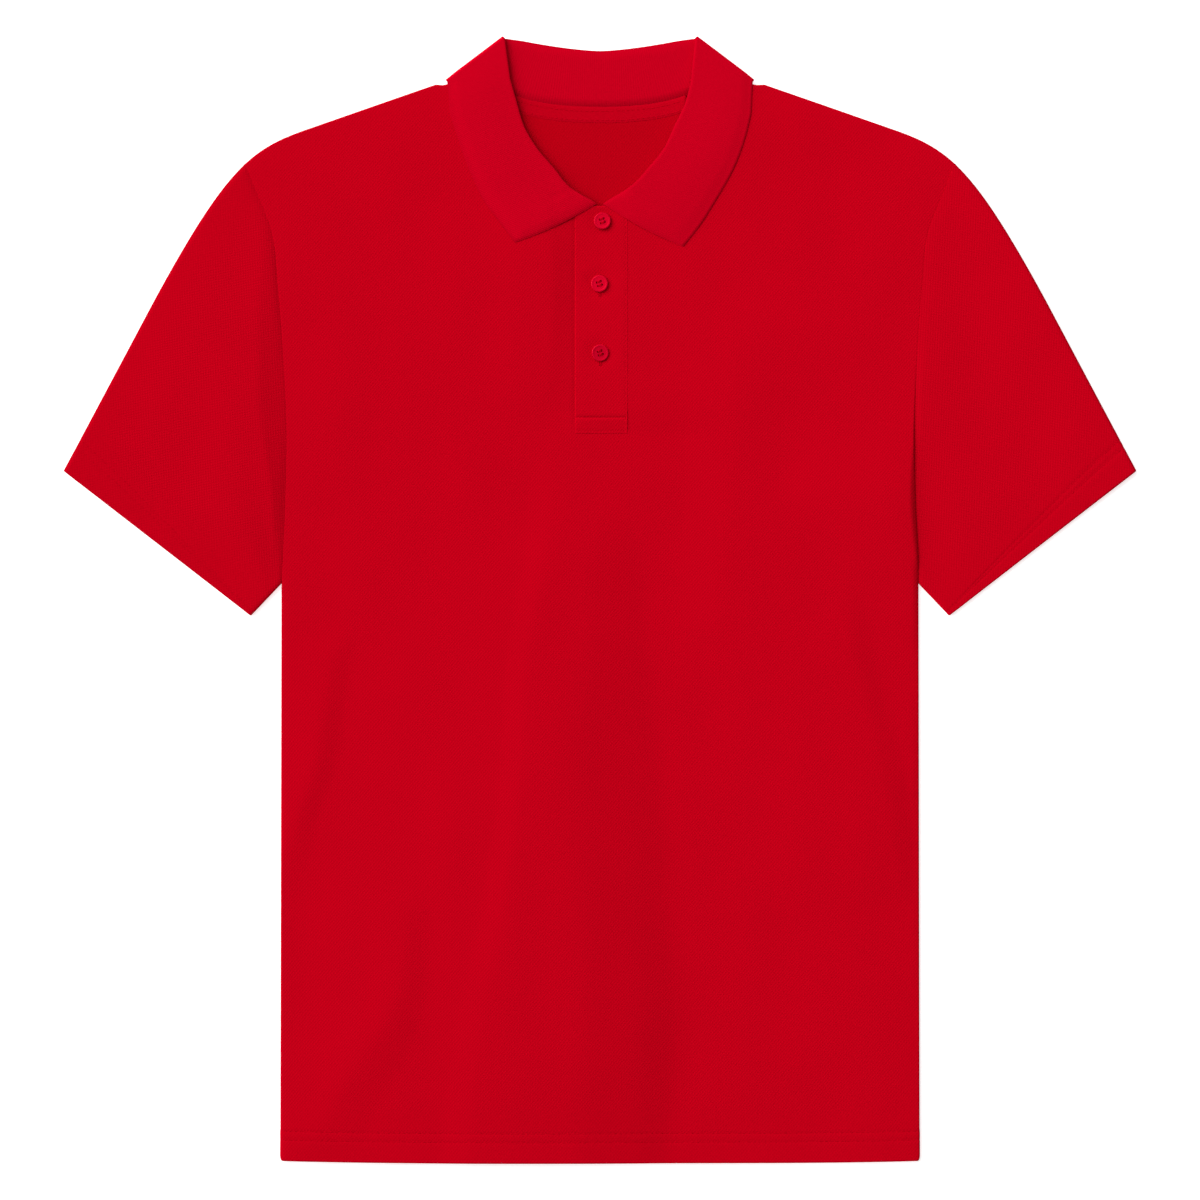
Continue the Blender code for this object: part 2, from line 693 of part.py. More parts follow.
def add_collar(finish, collection):
    left = leaf_sections(COLLAR_LEFT, -1)
    right = leaf_sections(COLLAR_RIGHT, 1)
    middle = side_sections(-1) + back_sections() + side_sections(1)[::-1]
    grid = np.array(left + middle + right[::-1])
    return add_cloth("collar", grid, RIB, finish, collection, even=False)


def side_heights():
    """Heights of the collar's layers at its side fold, at base, roll and edge: back and front."""
    fall_low = RIB / 2
    base_low = RIB + GAP + RIB / 2
    front_high = RIB + GAP + 2 * KNIT + GAP + NECK_ROOM
    fall_high = front_high + LEAF_ROOM + RIB / 2 + SIDE_EXTRA
    corner_x, corner_y = (np.array(place) for place in COLLAR_CORNER)
    return {
        "base": (base_low, front_high - KNIT / 2),
        "stand": (fall_low + 2 * ROLL_RADIUS, fall_high - 2 * ROLL_RADIUS),
        "fall": (fall_low, fall_high),
        "edge": (fall_low, float(chest_top(corner_x, corner_y)) + LEAF_ROOM + RIB / 2),
    }


def side_sections(side):
    """Sections that turn round the fold from the front leaf to the back of the collar."""
    peak = np.array([side * COLLAR_PEAK[0], COLLAR_PEAK[1]])
    corner = np.array([side * COLLAR_CORNER[0], COLLAR_CORNER[1]])
    crease = (corner - peak) / np.linalg.norm(corner - peak)
    normal = np.array([-crease[1], crease[0]]) * side
    heights = side_heights()
    radius = {key: (high - low) / 2 for key, (low, high) in heights.items()}
    axis_roll = peak + crease * ROLL_RADIUS - normal * (radius["fall"] * FOLD_SQUASH + RIB / 2)
    axis_edge = corner - normal * (radius["edge"] * FOLD_SQUASH + RIB / 2)
    axis_base = np.array([side * (NECK_HALF - SIDE_BASE_INSET[0]), NECK_POINT_Y - SIDE_BASE_INSET[1]])
    axes = {"base": axis_base, "stand": axis_roll, "fall": axis_roll, "edge": axis_edge}
    sections = []
    for angle in np.linspace(pi / 2, -pi / 2, FOLD_STATIONS):
        place = {}
        for key, (low, high) in heights.items():
            flat = axes[key] + normal * radius[key] * FOLD_SQUASH * cos(angle)
            place[key] = np.array([*flat, (low + high) / 2 + radius[key] * sin(angle)])
        forward = np.array([*-crease, 0.0])
        sections.append(section(place["base"], place["stand"], place["fall"], place["edge"], forward))
    return sections


def back_sections():
    """Sections of the back of the collar, whose fall lies underneath."""
    heights = side_heights()
    sections = []
    for place in np.linspace(-BACK_SPAN, BACK_SPAN, 2 * BACK_STATIONS + 1):
        near = abs(place)
        base_x, base_y = inside_neck(1 - near**BACK_BASE_POWER, BACK_NECK)
        base = np.array([np.sign(place) * base_x, base_y, heights["base"][0]])
        roll_x = BACK_ROLL_HALF * place
        roll_y = BACK_ROLL_Y + BACK_ROLL_RISE * near**BACK_ROLL_POWER - ROLL_RADIUS - RIB / 2
        stand = np.array([roll_x, roll_y, heights["stand"][0]])
        fall = np.array([roll_x, roll_y, heights["fall"][0]])
        edge_y = BACK_EDGE_Y + BACK_EDGE_RISE * near**BACK_EDGE_POWER
        edge = np.array([BACK_EDGE_HALF * place, edge_y, heights["edge"][0]])
        forward = np.array([0.0, 1.0, 0.0])
        sections.append(section(base, stand, fall, edge, forward))
    return sections


# ---------------------------------------------------------------- small pieces


def strip_grid(left, right, bottom, top_edge, height, rows):
    """Points of a strip that lies on a panel, between two heights up the shirt."""
    x = np.linspace(left, right, STRIP_COLUMNS)[None, :] * np.ones((rows, 1))
    share = np.linspace(0.0, 1.0, rows)[:, None]
    y = bottom + (top_edge(x) - bottom) * share
    return np.stack([x, y, height(x, y)], axis=-1)


def add_plackets(finish, collection):
    def neck_edge(x):
        return neck_y(x, **FRONT_NECK) - GAP

    def over(x, y):
        return front_top(x, y) + PLACKET_GAP + PLACKET_CLOTH / 2

    def under(x, y):
        return front_top(x, y) - PLACKET_CLOTH / 2

    top = strip_grid(PLACKET_LEFT, PLACKET_RIGHT, PLACKET_BOTTOM, neck_edge, over, TOP_STRIP_ROWS)
    add_cloth("placket_top", top, PLACKET_CLOTH, finish, collection)
    left, right = PLACKET_LEFT + UNDER_INSET, PLACKET_RIGHT - UNDER_INSET
    lower = strip_grid(left, right, PLACKET_BOTTOM + UNDER_INSET, neck_edge, under, UNDER_STRIP_ROWS)
    add_cloth("placket_under", lower, PLACKET_CLOTH, finish, collection)


def add_neck_tape(finish, collection):
    """The tape over the back neck seam, which lies on the inside of the back panel."""
    x = np.linspace(-TAPE_HALF, TAPE_HALF, TAPE_COLUMNS)[None, :] * np.ones((TAPE_ROWS, 1))
    down = np.linspace(*TAPE_EDGES, TAPE_ROWS)[:, None]
    y = neck_y(x, **BACK_NECK) - down
    grid = np.stack([x, y, back_middle(x, y) + KNIT / 2 + GAP + TAPE / 2], axis=-1)
    return add_cloth("neck_tape", grid, TAPE, finish, collection)


def add_thread_holes(name, cutters):
    """Four round cutters in a square, as one mesh."""
    shape = bmesh.new()
    for across in (-1, 1):
        for up in (-1, 1):
            hole = bmesh.ops.create_cone(
                shape,
                cap_ends=True,
                segments=THREAD_HOLE_SIDES,
                radius1=THREAD_HOLE_RADIUS,
                radius2=THREAD_HOLE_RADIUS,
                depth=4 * BUTTON_THICK,
            )
            bmesh.ops.translate(
                shape, verts=hole["verts"], vec=(across * THREAD_HOLE_STEP, up * THREAD_HOLE_STEP, 0.0)
            )
    mesh = bpy.data.meshes.new(name)
    shape.to_mesh(mesh)
    shape.free()
    cutter = bpy.data.objects.new(name, mesh)
    cutter.hide_render = True
    cutter.display_type = "WIRE"
    cutters.objects.link(cutter)
    return cutter


def add_button(name, place, leans, finish, collection, cutters):
    """A moulded button with a raised rim and four thread holes, lying on the top placket."""
    profile = [(BUTTON_RADIUS * across, 0.0, BUTTON_THICK * up) for across, up in BUTTON_PROFILE]
    mesh = bpy.data.meshes.new(name)
    mesh.from_pydata(profile, [(i, i + 1) for i in range(len(profile) - 1)], [])
    button = add_object(name, mesh, finish, collection)
    turn = button.modifiers.new("Turn", "SCREW")
    turn.steps = BUTTON_STEPS
    turn.render_steps = BUTTON_STEPS
    turn.use_merge_vertices = True
    turn.merge_threshold = 0.00001
    cut = button.modifiers.new("Thread holes", "BOOLEAN")
    cut.operation = "DIFFERENCE"
    cut.object = add_thread_holes(name + "_holes", cutters)
    x, y = place
    rest = float(front_top(np.array(x), np.array(y))) + PLACKET_GAP + PLACKET_CLOTH + BUTTON_GAP
    button.location = (x, y, rest + BUTTON_RADIUS * sin(float(np.hypot(*leans))))
    button.rotation_euler = (*leans, BUTTON_TURN)
    cut.object.location = button.location
    cut.object.rotation_euler = button.rotation_euler
    return button


def main():
    clear_scene()
    collection = bpy.data.collections.new("polo_shirt")
    bpy.context.scene.collection.children.link(collection)
    knit = material("red_pique_knit", (0.54, 0.0, 0.009), 0.88)
    rib = material("red_rib_knit", (0.57, 0.0, 0.012), 0.90)
    add_back(knit, collection)
    add_front(knit, collection)
    add_sleeve("sleeve_left", -1, knit, collection)
    add_sleeve("sleeve_right", 1, knit, collection)
    add_collar(rib, collection)
    add_plackets(knit, collection)
    add_neck_tape(rib, collection)
    cutters = bpy.data.collections.new("cutters")
    bpy.context.scene.collection.children.link(cutters)
    moulded = material("red_button", (0.58, 0.004, 0.016), 0.35)
    for number, (x, y, *leans) in enumerate(BUTTONS, 1):
        add_button(f"button_{number}", (x, y), leans, moulded, collection, cutters)


main()
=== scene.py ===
"""The looks of a short-sleeved polo shirt that lies flat on its back, in metres, +Z up.

X runs across the shirt and Y from its hem to its collar. Each piece repeats the form of its solid in the
frame as a thin cloth wall with the finer folds, hems, seams and rounded edges, and the sewing is added.
"""

from math import cos, pi, radians, sin, sqrt

import bmesh
import bpy
import numpy as np
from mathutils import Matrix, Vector


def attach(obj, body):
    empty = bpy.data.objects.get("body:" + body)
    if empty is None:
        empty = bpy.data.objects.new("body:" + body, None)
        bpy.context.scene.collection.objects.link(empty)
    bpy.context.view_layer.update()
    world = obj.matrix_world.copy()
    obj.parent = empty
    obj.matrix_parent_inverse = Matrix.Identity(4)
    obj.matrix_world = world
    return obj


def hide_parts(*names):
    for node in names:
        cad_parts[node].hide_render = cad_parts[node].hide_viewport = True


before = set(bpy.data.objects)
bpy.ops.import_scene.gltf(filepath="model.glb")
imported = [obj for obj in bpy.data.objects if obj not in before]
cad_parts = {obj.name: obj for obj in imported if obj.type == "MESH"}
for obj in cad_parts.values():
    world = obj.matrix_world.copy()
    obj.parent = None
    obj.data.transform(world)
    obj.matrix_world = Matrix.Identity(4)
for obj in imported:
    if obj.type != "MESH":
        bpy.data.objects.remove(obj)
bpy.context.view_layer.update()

# Cloth of the solids, as in the part's source, and of the walls drawn here
SOLID_KNIT = 0.0012
GAP = 0.0003
MOST_ROOM = 0.0056
KNIT = 0.0008
HEM_CLOTH = 0.0012
RIB = 0.0009
TAPE = 0.00015
PLACKET_CLOTH = 0.0011
PLACKET_RISES = (0.00030, 0.00092)
PLACKET_HEM_RISE = 0.00016
PLACKET_HEM_RUN = 0.014
BOX_GROOVES = ((0.1240, 0.00045), (0.1150, 0.00010))
BOX_GROOVE_WIDTH = 0.0007
BOX_GROOVE_END = 0.001
PLACKET_SEAM = 0.0171
PLACKET_FOLD_SEAM = -0.0152
DIMPLE = 0.0011
DIMPLE_RADIUS = 0.0076
SIDE_GROOVE = 0.00035
SIDE_GROOVE_PLACE = 0.0002
SIDE_GROOVE_WIDTH = 0.0016
SIDE_GROOVE_FADE = 0.020
UNDER_DROP = 0.0005
NECK_REACH = 0.0036
NECK_REACH_CLOTH = 0.0004
FLOOR = 0.00008

# Body, flat: half widths and heights up the shirt
HEM_Y = -0.3828
HEM_BOW = 0.0015
HEM_CORNER = 0.0038
HEM_DEPTH = 0.0212
HEM_HALF = 0.2173
HEM_CORNER_CUT = 0.0018
CHEST_HALF = 0.2165
WIDEN_START = 0.1150
UNDERARM_Y = 0.0112
SHOULDER_POINT_Y = 0.2968
ARMHOLE_ROWS = (
    # height, half width
    (UNDERARM_Y, CHEST_HALF),
    (0.0700, 0.2138),
    (0.1100, 0.2130),
    (0.1600, 0.2150),
    (0.2150, 0.2188),
    (0.2500, 0.2228),
    (0.2800, 0.2345),
    (SHOULDER_POINT_Y, 0.2411),
)

# Top outline
NECK_HALF = 0.0770
SHOULDER_SLOPE = 0.3465
SHOULDER_END = (0.2009, 0.3193)
HEAD_HANDLES = ((0.2378, 0.3065), (0.2549, 0.2918))
HEAD_END = (0.3029, 0.2037)
SLEEVE_OUTER = (0.3648, 0.0874)
SLEEVE_INNER = (0.2370, -0.0105)
SHOULDER_TUCK = 0.0026
TUCK_START = 0.1120
TUCK_RUN = 0.0070
FRONT_NECK = {"depth": 0.0980, "power": 2.0}
BACK_NECK = {"depth": 0.0285, "power": 2.3}

# Placket and buttons
PLACKET_LEFT = -0.0167
PLACKET_RIGHT = 0.0187
PLACKET_BOTTOM = 0.1132
SLOT_INSET = 0.0025
BUTTON_RADIUS = 0.00575
BUTTON_THICK = 0.0014
THREAD_HOLE_RADIUS = 0.0008
THREAD_HOLE_STEP = 0.00125
THREAD_RADIUS = 0.00024
BUTTON_PROFILE = (
    # share of the radius, share of the thickness
    (0.60, 0.84),
    (0.70, 0.855),
    (0.76, 0.91),
    (0.82, 0.975),
    (0.88, 1.0),
    (0.93, 0.98),
    (0.975, 0.88),
    (1.0, 0.68),
    (0.985, 0.44),
    (0.93, 0.18),
    (0.84, 0.03),
    (0.78, 0.0),
)
BUTTON_GAP = 0.00004
BUTTON_TURN = radians(20)
BUTTONS = (
    # x, y, leans up and across the shirt
    (0.0016, 0.2573, radians(-5.0), radians(1.5)),
    (-0.0003, 0.2148, radians(-3.6), radians(-2.9)),
    (0.0001, 0.1678, radians(3.6), radians(2.9)),
)

# Collar: rows of its front leaves, a point of the roll line and the point of the outer edge across from it
COLLAR_LEFT = (
    (-0.0012, 0.2695, -0.0577, 0.2429),
    (-0.0194, 0.2805, -0.0696, 0.2585),
    (-0.0309, 0.2941, -0.0792, 0.2717),
    (-0.0418, 0.3070, -0.0860, 0.2857),
    (-0.0507, 0.3220, -0.0921, 0.3004),
    (-0.0561, 0.3397, -0.0974, 0.3165),
    (-0.0602, 0.3543, -0.1017, 0.3298),
)
COLLAR_RIGHT = (
    (0.0012, 0.2695, 0.0565, 0.2400),
    (0.0205, 0.2815, 0.0685, 0.2553),
    (0.0325, 0.2940, 0.0790, 0.2720),
    (0.0430, 0.3075, 0.0875, 0.2865),
    (0.0500, 0.3225, 0.0938, 0.3000),
    (0.0570, 0.3370, 0.0989, 0.3150),
    (0.0610, 0.3520, 0.1025, 0.3295),
)
LEAF_SPAN = 0.84
LEAF_BASE_START = 0.975
LEAF_BASE_POWER = 1.6
COLLAR_PEAK = (0.0658, 0.3833)
COLLAR_CORNER = (0.1049, 0.3538)
SIDE_BASE_INSET = (0.0022, 0.0004)
BACK_SPAN = 0.86
BACK_BASE_POWER = 1.2
BACK_ROLL_HALF = 0.0610
BACK_ROLL_Y = 0.3737
BACK_ROLL_RISE = 0.0085
BACK_ROLL_POWER = 1.5
BACK_EDGE_HALF = 0.1000
BACK_EDGE_Y = 0.3247
BACK_EDGE_RISE = COLLAR_CORNER[1] - BACK_EDGE_Y
BACK_EDGE_POWER = 1.6
ROLL_RADIUS = 0.0009
FOLD_SQUASH = 0.75
NECK_ROOM = 0.0007
LEAF_ROOM = 0.00008
LEAF_EXTRA = 0.0001
SIDE_EXTRA = 0.0002
LIFT_START = 0.0940
LIFT_RUN = 0.0680

# Neck tape
TAPE_HALF = 0.0580
TAPE_EDGES = (0.0092, -0.0012)
TAPE_GAP = 0.00003

# How far the front stands off the back
BODY_LOFT = 0.0007
BODY_ROLL = 0.0042
EDGE_REACHES = (0.0042, 0.070)
EDGE_NEAR_SHARE = 0.2
ARMHOLE_BLEND = 0.020
ARMHOLE_STEP = 0.4
ARMHOLE_REACH = 0.040
HEM_ROOM = 0.0044
HEM_RISE = 0.085
RIPPLES = (
    # length across, length up, turn, height
    (0.083, 0.310, 0.4, 0.00006),
    (-0.057, 0.190, 2.1, 0.00004),
    (0.131, -0.120, 4.4, 0.00006),
    (0.041, 0.470, 1.3, 0.000025),
)
NECK_FLAT = 0.008
NECK_FADE = 0.030
PLACKET_FLAT = 0.004
PLACKET_FADE = 0.010

# Room in a sleeve
SLEEVE_AIR = 0.0004
SLEEVE_ROLL = 0.006
SLEEVE_DIP = 0.06
DIP_REACH = 0.012
SLEEVE_UNDER_LENGTH = 0.040
SLEEVE_EXTRA_LENGTH = 0.215

# Folds of the front, in millimetres, each a crest down the shirt with a flank on either side over which it
# falls away. The other tables of folds have the same columns
FOLD_ROWS = (
    # x, y, height, left flank, right flank
    (  # the main fold: long from the left, and steep on its right
        (3, 100, 0, 190, 18),
        (-2, 62, 0.8, 190, 28),
        (-11, 20, 1.6, 190, 44),
        (-15, -34, 2.6, 192, 54),
        (-18, -68, 3.2, 192, 60),
        (-20.5, -130, 4, 192, 72),
        (-22, -200, 4.5, 192, 82),
        (-22.5, -270, 4.7, 192, 88),
        (-23.5, -330, 4.4, 192, 86),
        (-25, -384, 3.6, 192, 76),
        (-27, -430, 3, 192, 70),
    ),
    (  # its darker foot, low down
        (24, -140, 0, 40, 20),
        (25, -210, 0.3, 45, 24),
        (26.5, -290, 0.5, 50, 26),
        (25, -360, 0.4, 50, 24),
        (23, -430, 0.3, 50, 22),
    ),
    (  # the narrow ridge left of it
        (-29.5, 137, 0, 14, 30),
        (-31, 95, 0.3, 18, 34),
        (-34, 40, 0.5, 19, 36),
        (-46, -30, 0.6, 18, 40),
        (-52, -110, 0.5, 18, 40),
        (-62, -200, 0.5, 19, 50),
        (-78, -290, 0.5, 22, 60),
        (-86, -384, 0.8, 26, 60),
        (-90, -430, 0.8, 26, 60),
    ),
    (  # beside the left side seam
        (-172, -10, 0, 45, 14),
        (-180.5, -34, 0.5, 38, 15),
        (-187.5, -68, 0.7, 32, 16),
        (-193, -109, 0.8, 27, 16),
        (-205, -150, 0.5, 16, 14),
        (-210, -190, 0, 12, 10),
    ),
    (  # beside the right side seam
        (150, 35, 0, 80, 16),
        (166, -10, 0.4, 90, 16),
        (170, -34, 0.6, 100, 17),
        (179, -68, 0.8, 110, 18),
        (189, -109, 0.8, 110, 18),
        (197, -150, 0.8, 110, 16),
        (202, -190, 0.4, 100, 12),
        (205, -225, 0, 90, 10),
    ),
    (  # low on the left, turning towards the hem's corner
        (-130, -185, 0, 80, 18),
        (-133, -230, 0.6, 82, 18),
        (-140, -270, 0.9, 76, 24),
        (-163, -310, 1.1, 54, 34),
        (-185, -350, 0.8, 33, 34),
        (-203, -400, 0, 20, 30),
    ),
    (  # left of the placket
        (-38, 285, 0, 100, 18),
        (-36, 245, 1.1, 120, 19),
        (-34, 200, 1.1, 120, 17),
        (-36, 160, 0.7, 100, 18),
        (-44, 115, 0, 80, 20),
    ),
    (  # right of the placket
        (85, 225, 0, 36, 120),
        (93, 170, 0.9, 40, 130),
        (93, 60, 0.9, 42, 130),
        (82, -30, 0.7, 36, 120),
        (80, -85, 0, 30, 100),
    ),
)
# Up to the right armhole, whose edge lies over the sleeve
ARMHOLE_FOLD = (
    (
        (227, 310, 0, 60, 60),
        (225, 220, 0.2, 60, 60),
        (220, 170, 0.2, 65, 50),
        (216, 145, 0.4, 70, 30),
        (213, 120, 1, 80, 12),
        (211, 95, 2.2, 90, 6.5),
        (210.4, 70, 3, 100, 5.8),
        (212, 45, 2.9, 80, 5.8),
        (214, 25, 2.2, 60, 6),
        (215, 8, 1.3, 45, 7),
        (216, -20, 0.6, 35, 8),
        (216.5, -60, 0, 30, 10),
    ),
)
# The front that carries the top placket lies a layer higher than the other
OVERLAP_ROWS = (
    (
        (18.1, 420, 0.8, 1.6, 170),
        (18.1, 300, 0.8, 1.6, 170),
        (18.1, 220, 0.8, 1.6, 170),
        (18.1, 160, 0.8, 1.6, 170),
        (18.1, 138, 0.8, 1.6, 150),
        (18.1, 126, 0.6, 1.6, 130),
        (18.1, 113, 0.01, 1.6, 110),
    ),
)
# Folds of the sleeves, by side
SLEEVE_ROWS = {
    -1: (
        (  # from the armhole seam, and long towards the outer edge
            (-235, 275, 0, 60, 8),
            (-231, 240, 0.5, 80, 11),
            (-233.5, 205, 1, 100, 16.5),
            (-234, 165, 1.4, 110, 18.5),
            (-233.5, 130, 1.9, 110, 20),
            (-229.5, 105, 1.8, 110, 16.5),
            (-225, 80, 1.5, 100, 11.5),
            (-222.8, 55, 1.1, 90, 8.5),
            (-222.8, 30, 0.4, 80, 8.5),
            (-223.5, 0, 0, 70, 9),
        ),
        (  # a short one by the underarm
            (-245, 75, 0, 30, 14),
            (-240, 50, 0.3, 30, 14),
            (-233, 25, 0.4, 30, 13),
            (-228, 5, 0.3, 30, 12),
            (-225, -10, 0, 30, 12),
        ),
    ),
    1: (
        (  # along the outer edge
            (245, 285, 0, 40, 60),
            (272, 250, 0.4, 50, 60),
            (298, 203.7, 0.8, 60, 60),
            (326, 150, 1, 65, 60),
            (352, 100, 0.9, 65, 60),
            (370, 65, 0.7, 65, 60),
        ),
    ),
}
# Shallow folds on the underside, where the back stands off the surface
BACK_ROWS = (
    (
        (45, 180, 0, 60, 40),
        (38, 60, 0.4, 70, 45),
        (30, -80, 0.5, 80, 50),
        (24, -220, 0.5, 90, 60),
        (28, -380, 0.3, 90, 60),
    ),
    (
        (-120, 120, 0, 40, 60),
        (-108, 0, 0.4, 45, 65),
        (-90, -150, 0.5, 50, 70),
        (-80, -300, 0.3, 55, 70),
        (-82, -380, 0, 55, 70),
    ),
    (
        (150, 60, 0, 50, 30),
        (142, -60, 0.4, 55, 32),
        (136, -200, 0.4, 60, 34),
        (138, -330, 0, 60, 34),
    ),
)
BACK_FADE = 0.030
BACK_FOLD_TOP = 0.230
FOLD_FADE = 0.14
LEAST_FLANK = 0.0012
FLANK_EASE = 0.22
SOFT_CHANGE = 0.0005

# Angles past which an edge is drawn sharp
WALL_SHARP = radians(75)
THREAD_SHARP = radians(80)
BUTTON_SHARP = radians(40)

# Grids
STEP = 0.0034
BACK_STEP = 0.0050
MM = 0.001
HAIR = 1e-9
TINY = 1e-12


# ---- curves


def smoothstep(t):
    t = np.clip(t, 0.0, 1.0)
    return t * t * (3.0 - 2.0 * t)


def fade(t):
    """The other way round from smoothstep: 1 at 0, and 0 at 1."""
    return 1 - smoothstep(t)


def between(low, high, share):
    """The low value where the share is 0, and the high one where it is 1."""
    return low + (high - low) * share


def dent(away, width):
    """1 on a line, and next to nothing more than two widths away from it."""
    return np.exp(-((away / width) ** 2))


def stacked(*parts):
    return np.stack(parts, axis=-1)


def unit(vectors):
    """The vectors at length 1."""
    return vectors / np.maximum(np.linalg.norm(vectors, axis=-1, keepdims=True), TINY)


def through(knots, values, at):
    """A smooth curve through a table's rows, read at any place between them."""
    knots = np.asarray(knots, float)
    values = np.asarray(values, float)
    slopes = np.gradient(values, knots, axis=0)
    at = np.clip(at, knots[0], knots[-1])
    row = np.clip(np.searchsorted(knots, at, side="right") - 1, 0, len(knots) - 2)
    span = knots[row + 1] - knots[row]
    t = (at - knots[row]) / span
    if values.ndim > 1:
        span = span[..., None]
        t = t[..., None]
    start = values[row] * (1 + 2 * t) * (1 - t) ** 2 + slopes[row] * span * t * (1 - t) ** 2
    end = values[row + 1] * t * t * (3 - 2 * t) - slopes[row + 1] * span * t * t * (1 - t)
    return start + end


def bezier(start, first, second, end, t):
    t = np.asarray(t, float)[:, None]
    start, first, second, end = (np.array(point, float) for point in (start, first, second, end))
    return (1 - t) ** 3 * start + 3 * (1 - t) ** 2 * t * first + 3 * (1 - t) * t * t * second + t**3 * end


def arc_shares(points):
    steps = np.linalg.norm(np.diff(points, axis=0), axis=1)
    return np.concatenate([[0.0], np.cumsum(steps)]) / steps.sum()


def along(points, t):
    """Points at shares t of the way along a chain of points."""
    share = arc_shares(points)
    return stacked(*(np.interp(t, share, column) for column in points.T))


def fill_in(knots, step):
    """The knots, with places between them so that no two are further apart than a step."""
    places = [knots[0]]
    for low, high in zip(knots[:-1], knots[1:]):
        count = max(1, int(np.ceil(abs(high - low) / step - HAIR)))
        places.extend(low + (high - low) * (k + 1) / count for k in range(count))
    return np.array(places)


# ---- outline and heights

NECK_POINT_Y = SHOULDER_END[1] + (SHOULDER_END[0] - NECK_HALF) * SHOULDER_SLOPE
TOP_OUTLINE = np.concatenate(
    [
        [(NECK_HALF, NECK_POINT_Y)],
        bezier(SHOULDER_END, *HEAD_HANDLES, HEAD_END, np.linspace(0.0, 1.0, 40)),
        [SLEEVE_OUTER],
    ]
)


def neck_y(x, depth, power):
    inside = 1 - np.clip(np.abs(x) / NECK_HALF, 0.0, 1.0) ** power
    return NECK_POINT_Y - depth * inside ** (1 / power)


def shoulder_y(x):
    line = np.interp(np.abs(x), TOP_OUTLINE[:, 0], TOP_OUTLINE[:, 1])
    return line - SHOULDER_TUCK * smoothstep((TUCK_START - np.abs(x)) / TUCK_RUN)


def top_y(x, neck):
    return np.where(np.abs(x) < NECK_HALF, neck_y(x, **neck), shoulder_y(x))


def hem_y(x):
    return HEM_Y + HEM_BOW * (np.abs(x) / HEM_HALF) ** 4


def half_width(y):
    up = np.clip((y - HEM_Y) / HEM_CORNER, 0.0, 1.0)
    corner = HEM_HALF - HEM_CORNER_CUT * (1 - np.sqrt(np.clip(1 - (1 - up) ** 2, 0.0, 1.0)))
    side = corner + (CHEST_HALF - HEM_HALF) * np.clip((y - HEM_Y) / (UNDERARM_Y - HEM_Y), 0.0, 1.0)
    armhole = through([row[0] for row in ARMHOLE_ROWS], [row[1] for row in ARMHOLE_ROWS], y)
    return np.where(y > UNDERARM_Y, armhole, side)


def back_lift(x, y):
    edge = BACK_EDGE_Y + BACK_EDGE_RISE * (np.abs(x) / COLLAR_CORNER[0]) ** BACK_EDGE_POWER
    return (RIB + GAP) * smoothstep((y - edge + LIFT_START) / LIFT_RUN)


def rise(distance, reach):
    """0 on an edge, and 1 where a piece is clear of it."""
    return 1.0 - (1.0 - np.clip(distance / reach, 0.0, 1.0)) ** 2


def edge_rises(x, y):
    """How far the front has risen from its edges: over a short reach, over a long one, and for its folds.
    It keeps its height at the armholes, where the sleeves are sewn on."""
    side = half_width(np.minimum(y, SHOULDER_POINT_Y)) - np.abs(x)
    shoulder = (shoulder_y(np.maximum(np.abs(x), NECK_HALF)) - y) / sqrt(1 + SHOULDER_SLOPE**2)
    keep = smoothstep((y - UNDERARM_Y) / ARMHOLE_BLEND)
    at_seam = between(ARMHOLE_STEP, 1, rise(side, ARMHOLE_REACH))
    near = rise(side, EDGE_REACHES[0])
    near = between(near, at_seam, keep) * rise(shoulder, EDGE_REACHES[0])
    folds = (1 - (1 - rise(side, BODY_ROLL)) * (1 - keep)) * rise(shoulder, BODY_ROLL)
    return near, rise(np.minimum(side, shoulder), EDGE_REACHES[1]), folds


def neck_share(x, y):
    across = np.abs(x) / NECK_HALF
    down = np.clip((NECK_POINT_Y - y) / FRONT_NECK["depth"], 0.0, None)
    outside = (np.sqrt(across**2 + down**2) - 1) * NECK_HALF
    return fade((outside - NECK_FLAT) / NECK_FADE)


def flank_shape(t):
    """1 at a crest and 0 at the foot of its flank, with an even slope between two soft ends."""
    t = np.clip(t, 0.0, 1.0)
    near = np.minimum(t, 1 - t)
    fall = np.where(near < FLANK_EASE, near**2 / (2 * FLANK_EASE), near - FLANK_EASE / 2) / (1 - FLANK_EASE)
    return np.where(t < 0.5, 1 - fall, fall)


def fold_height(x, y, folds):
    """The sum of the folds: each falls from its crest to nothing over its two flanks."""
    total = np.zeros_like(x)
    for rows in folds:
        table = np.array(rows)[::-1] * MM
        place_x, height, left, right = (through(table[:, 1], table[:, k], y) for k in (0, 2, 3, 4))
        away = x - place_x
        flank = np.maximum(np.where(away < 0, left, right), LEAST_FLANK)
        shape = flank_shape(np.abs(away) / flank)
        t = (y - table[0, 1]) / (table[-1, 1] - table[0, 1])
        shape = shape * ((t > 0) & (t < 1))
        for end, share in ((0, t), (-1, 1 - t)):
            if table[end, 2] == 0.0:
                shape = shape * smoothstep(share / FOLD_FADE)
        total += np.maximum(height, 0.0) * shape
    return total


def higher(a, b):
    """The higher of two heights, with a soft change between them."""
    return (a + b + np.sqrt((a - b) ** 2 + SOFT_CHANGE**2)) / 2


def ripple(x, y):
    """Slight unevenness of cloth that lies loose."""
    total = np.zeros_like(x)
    for across, up, turn, high in RIPPLES:
        total += high * np.sin(2 * pi * (x / across + y / up) + turn)
    return total


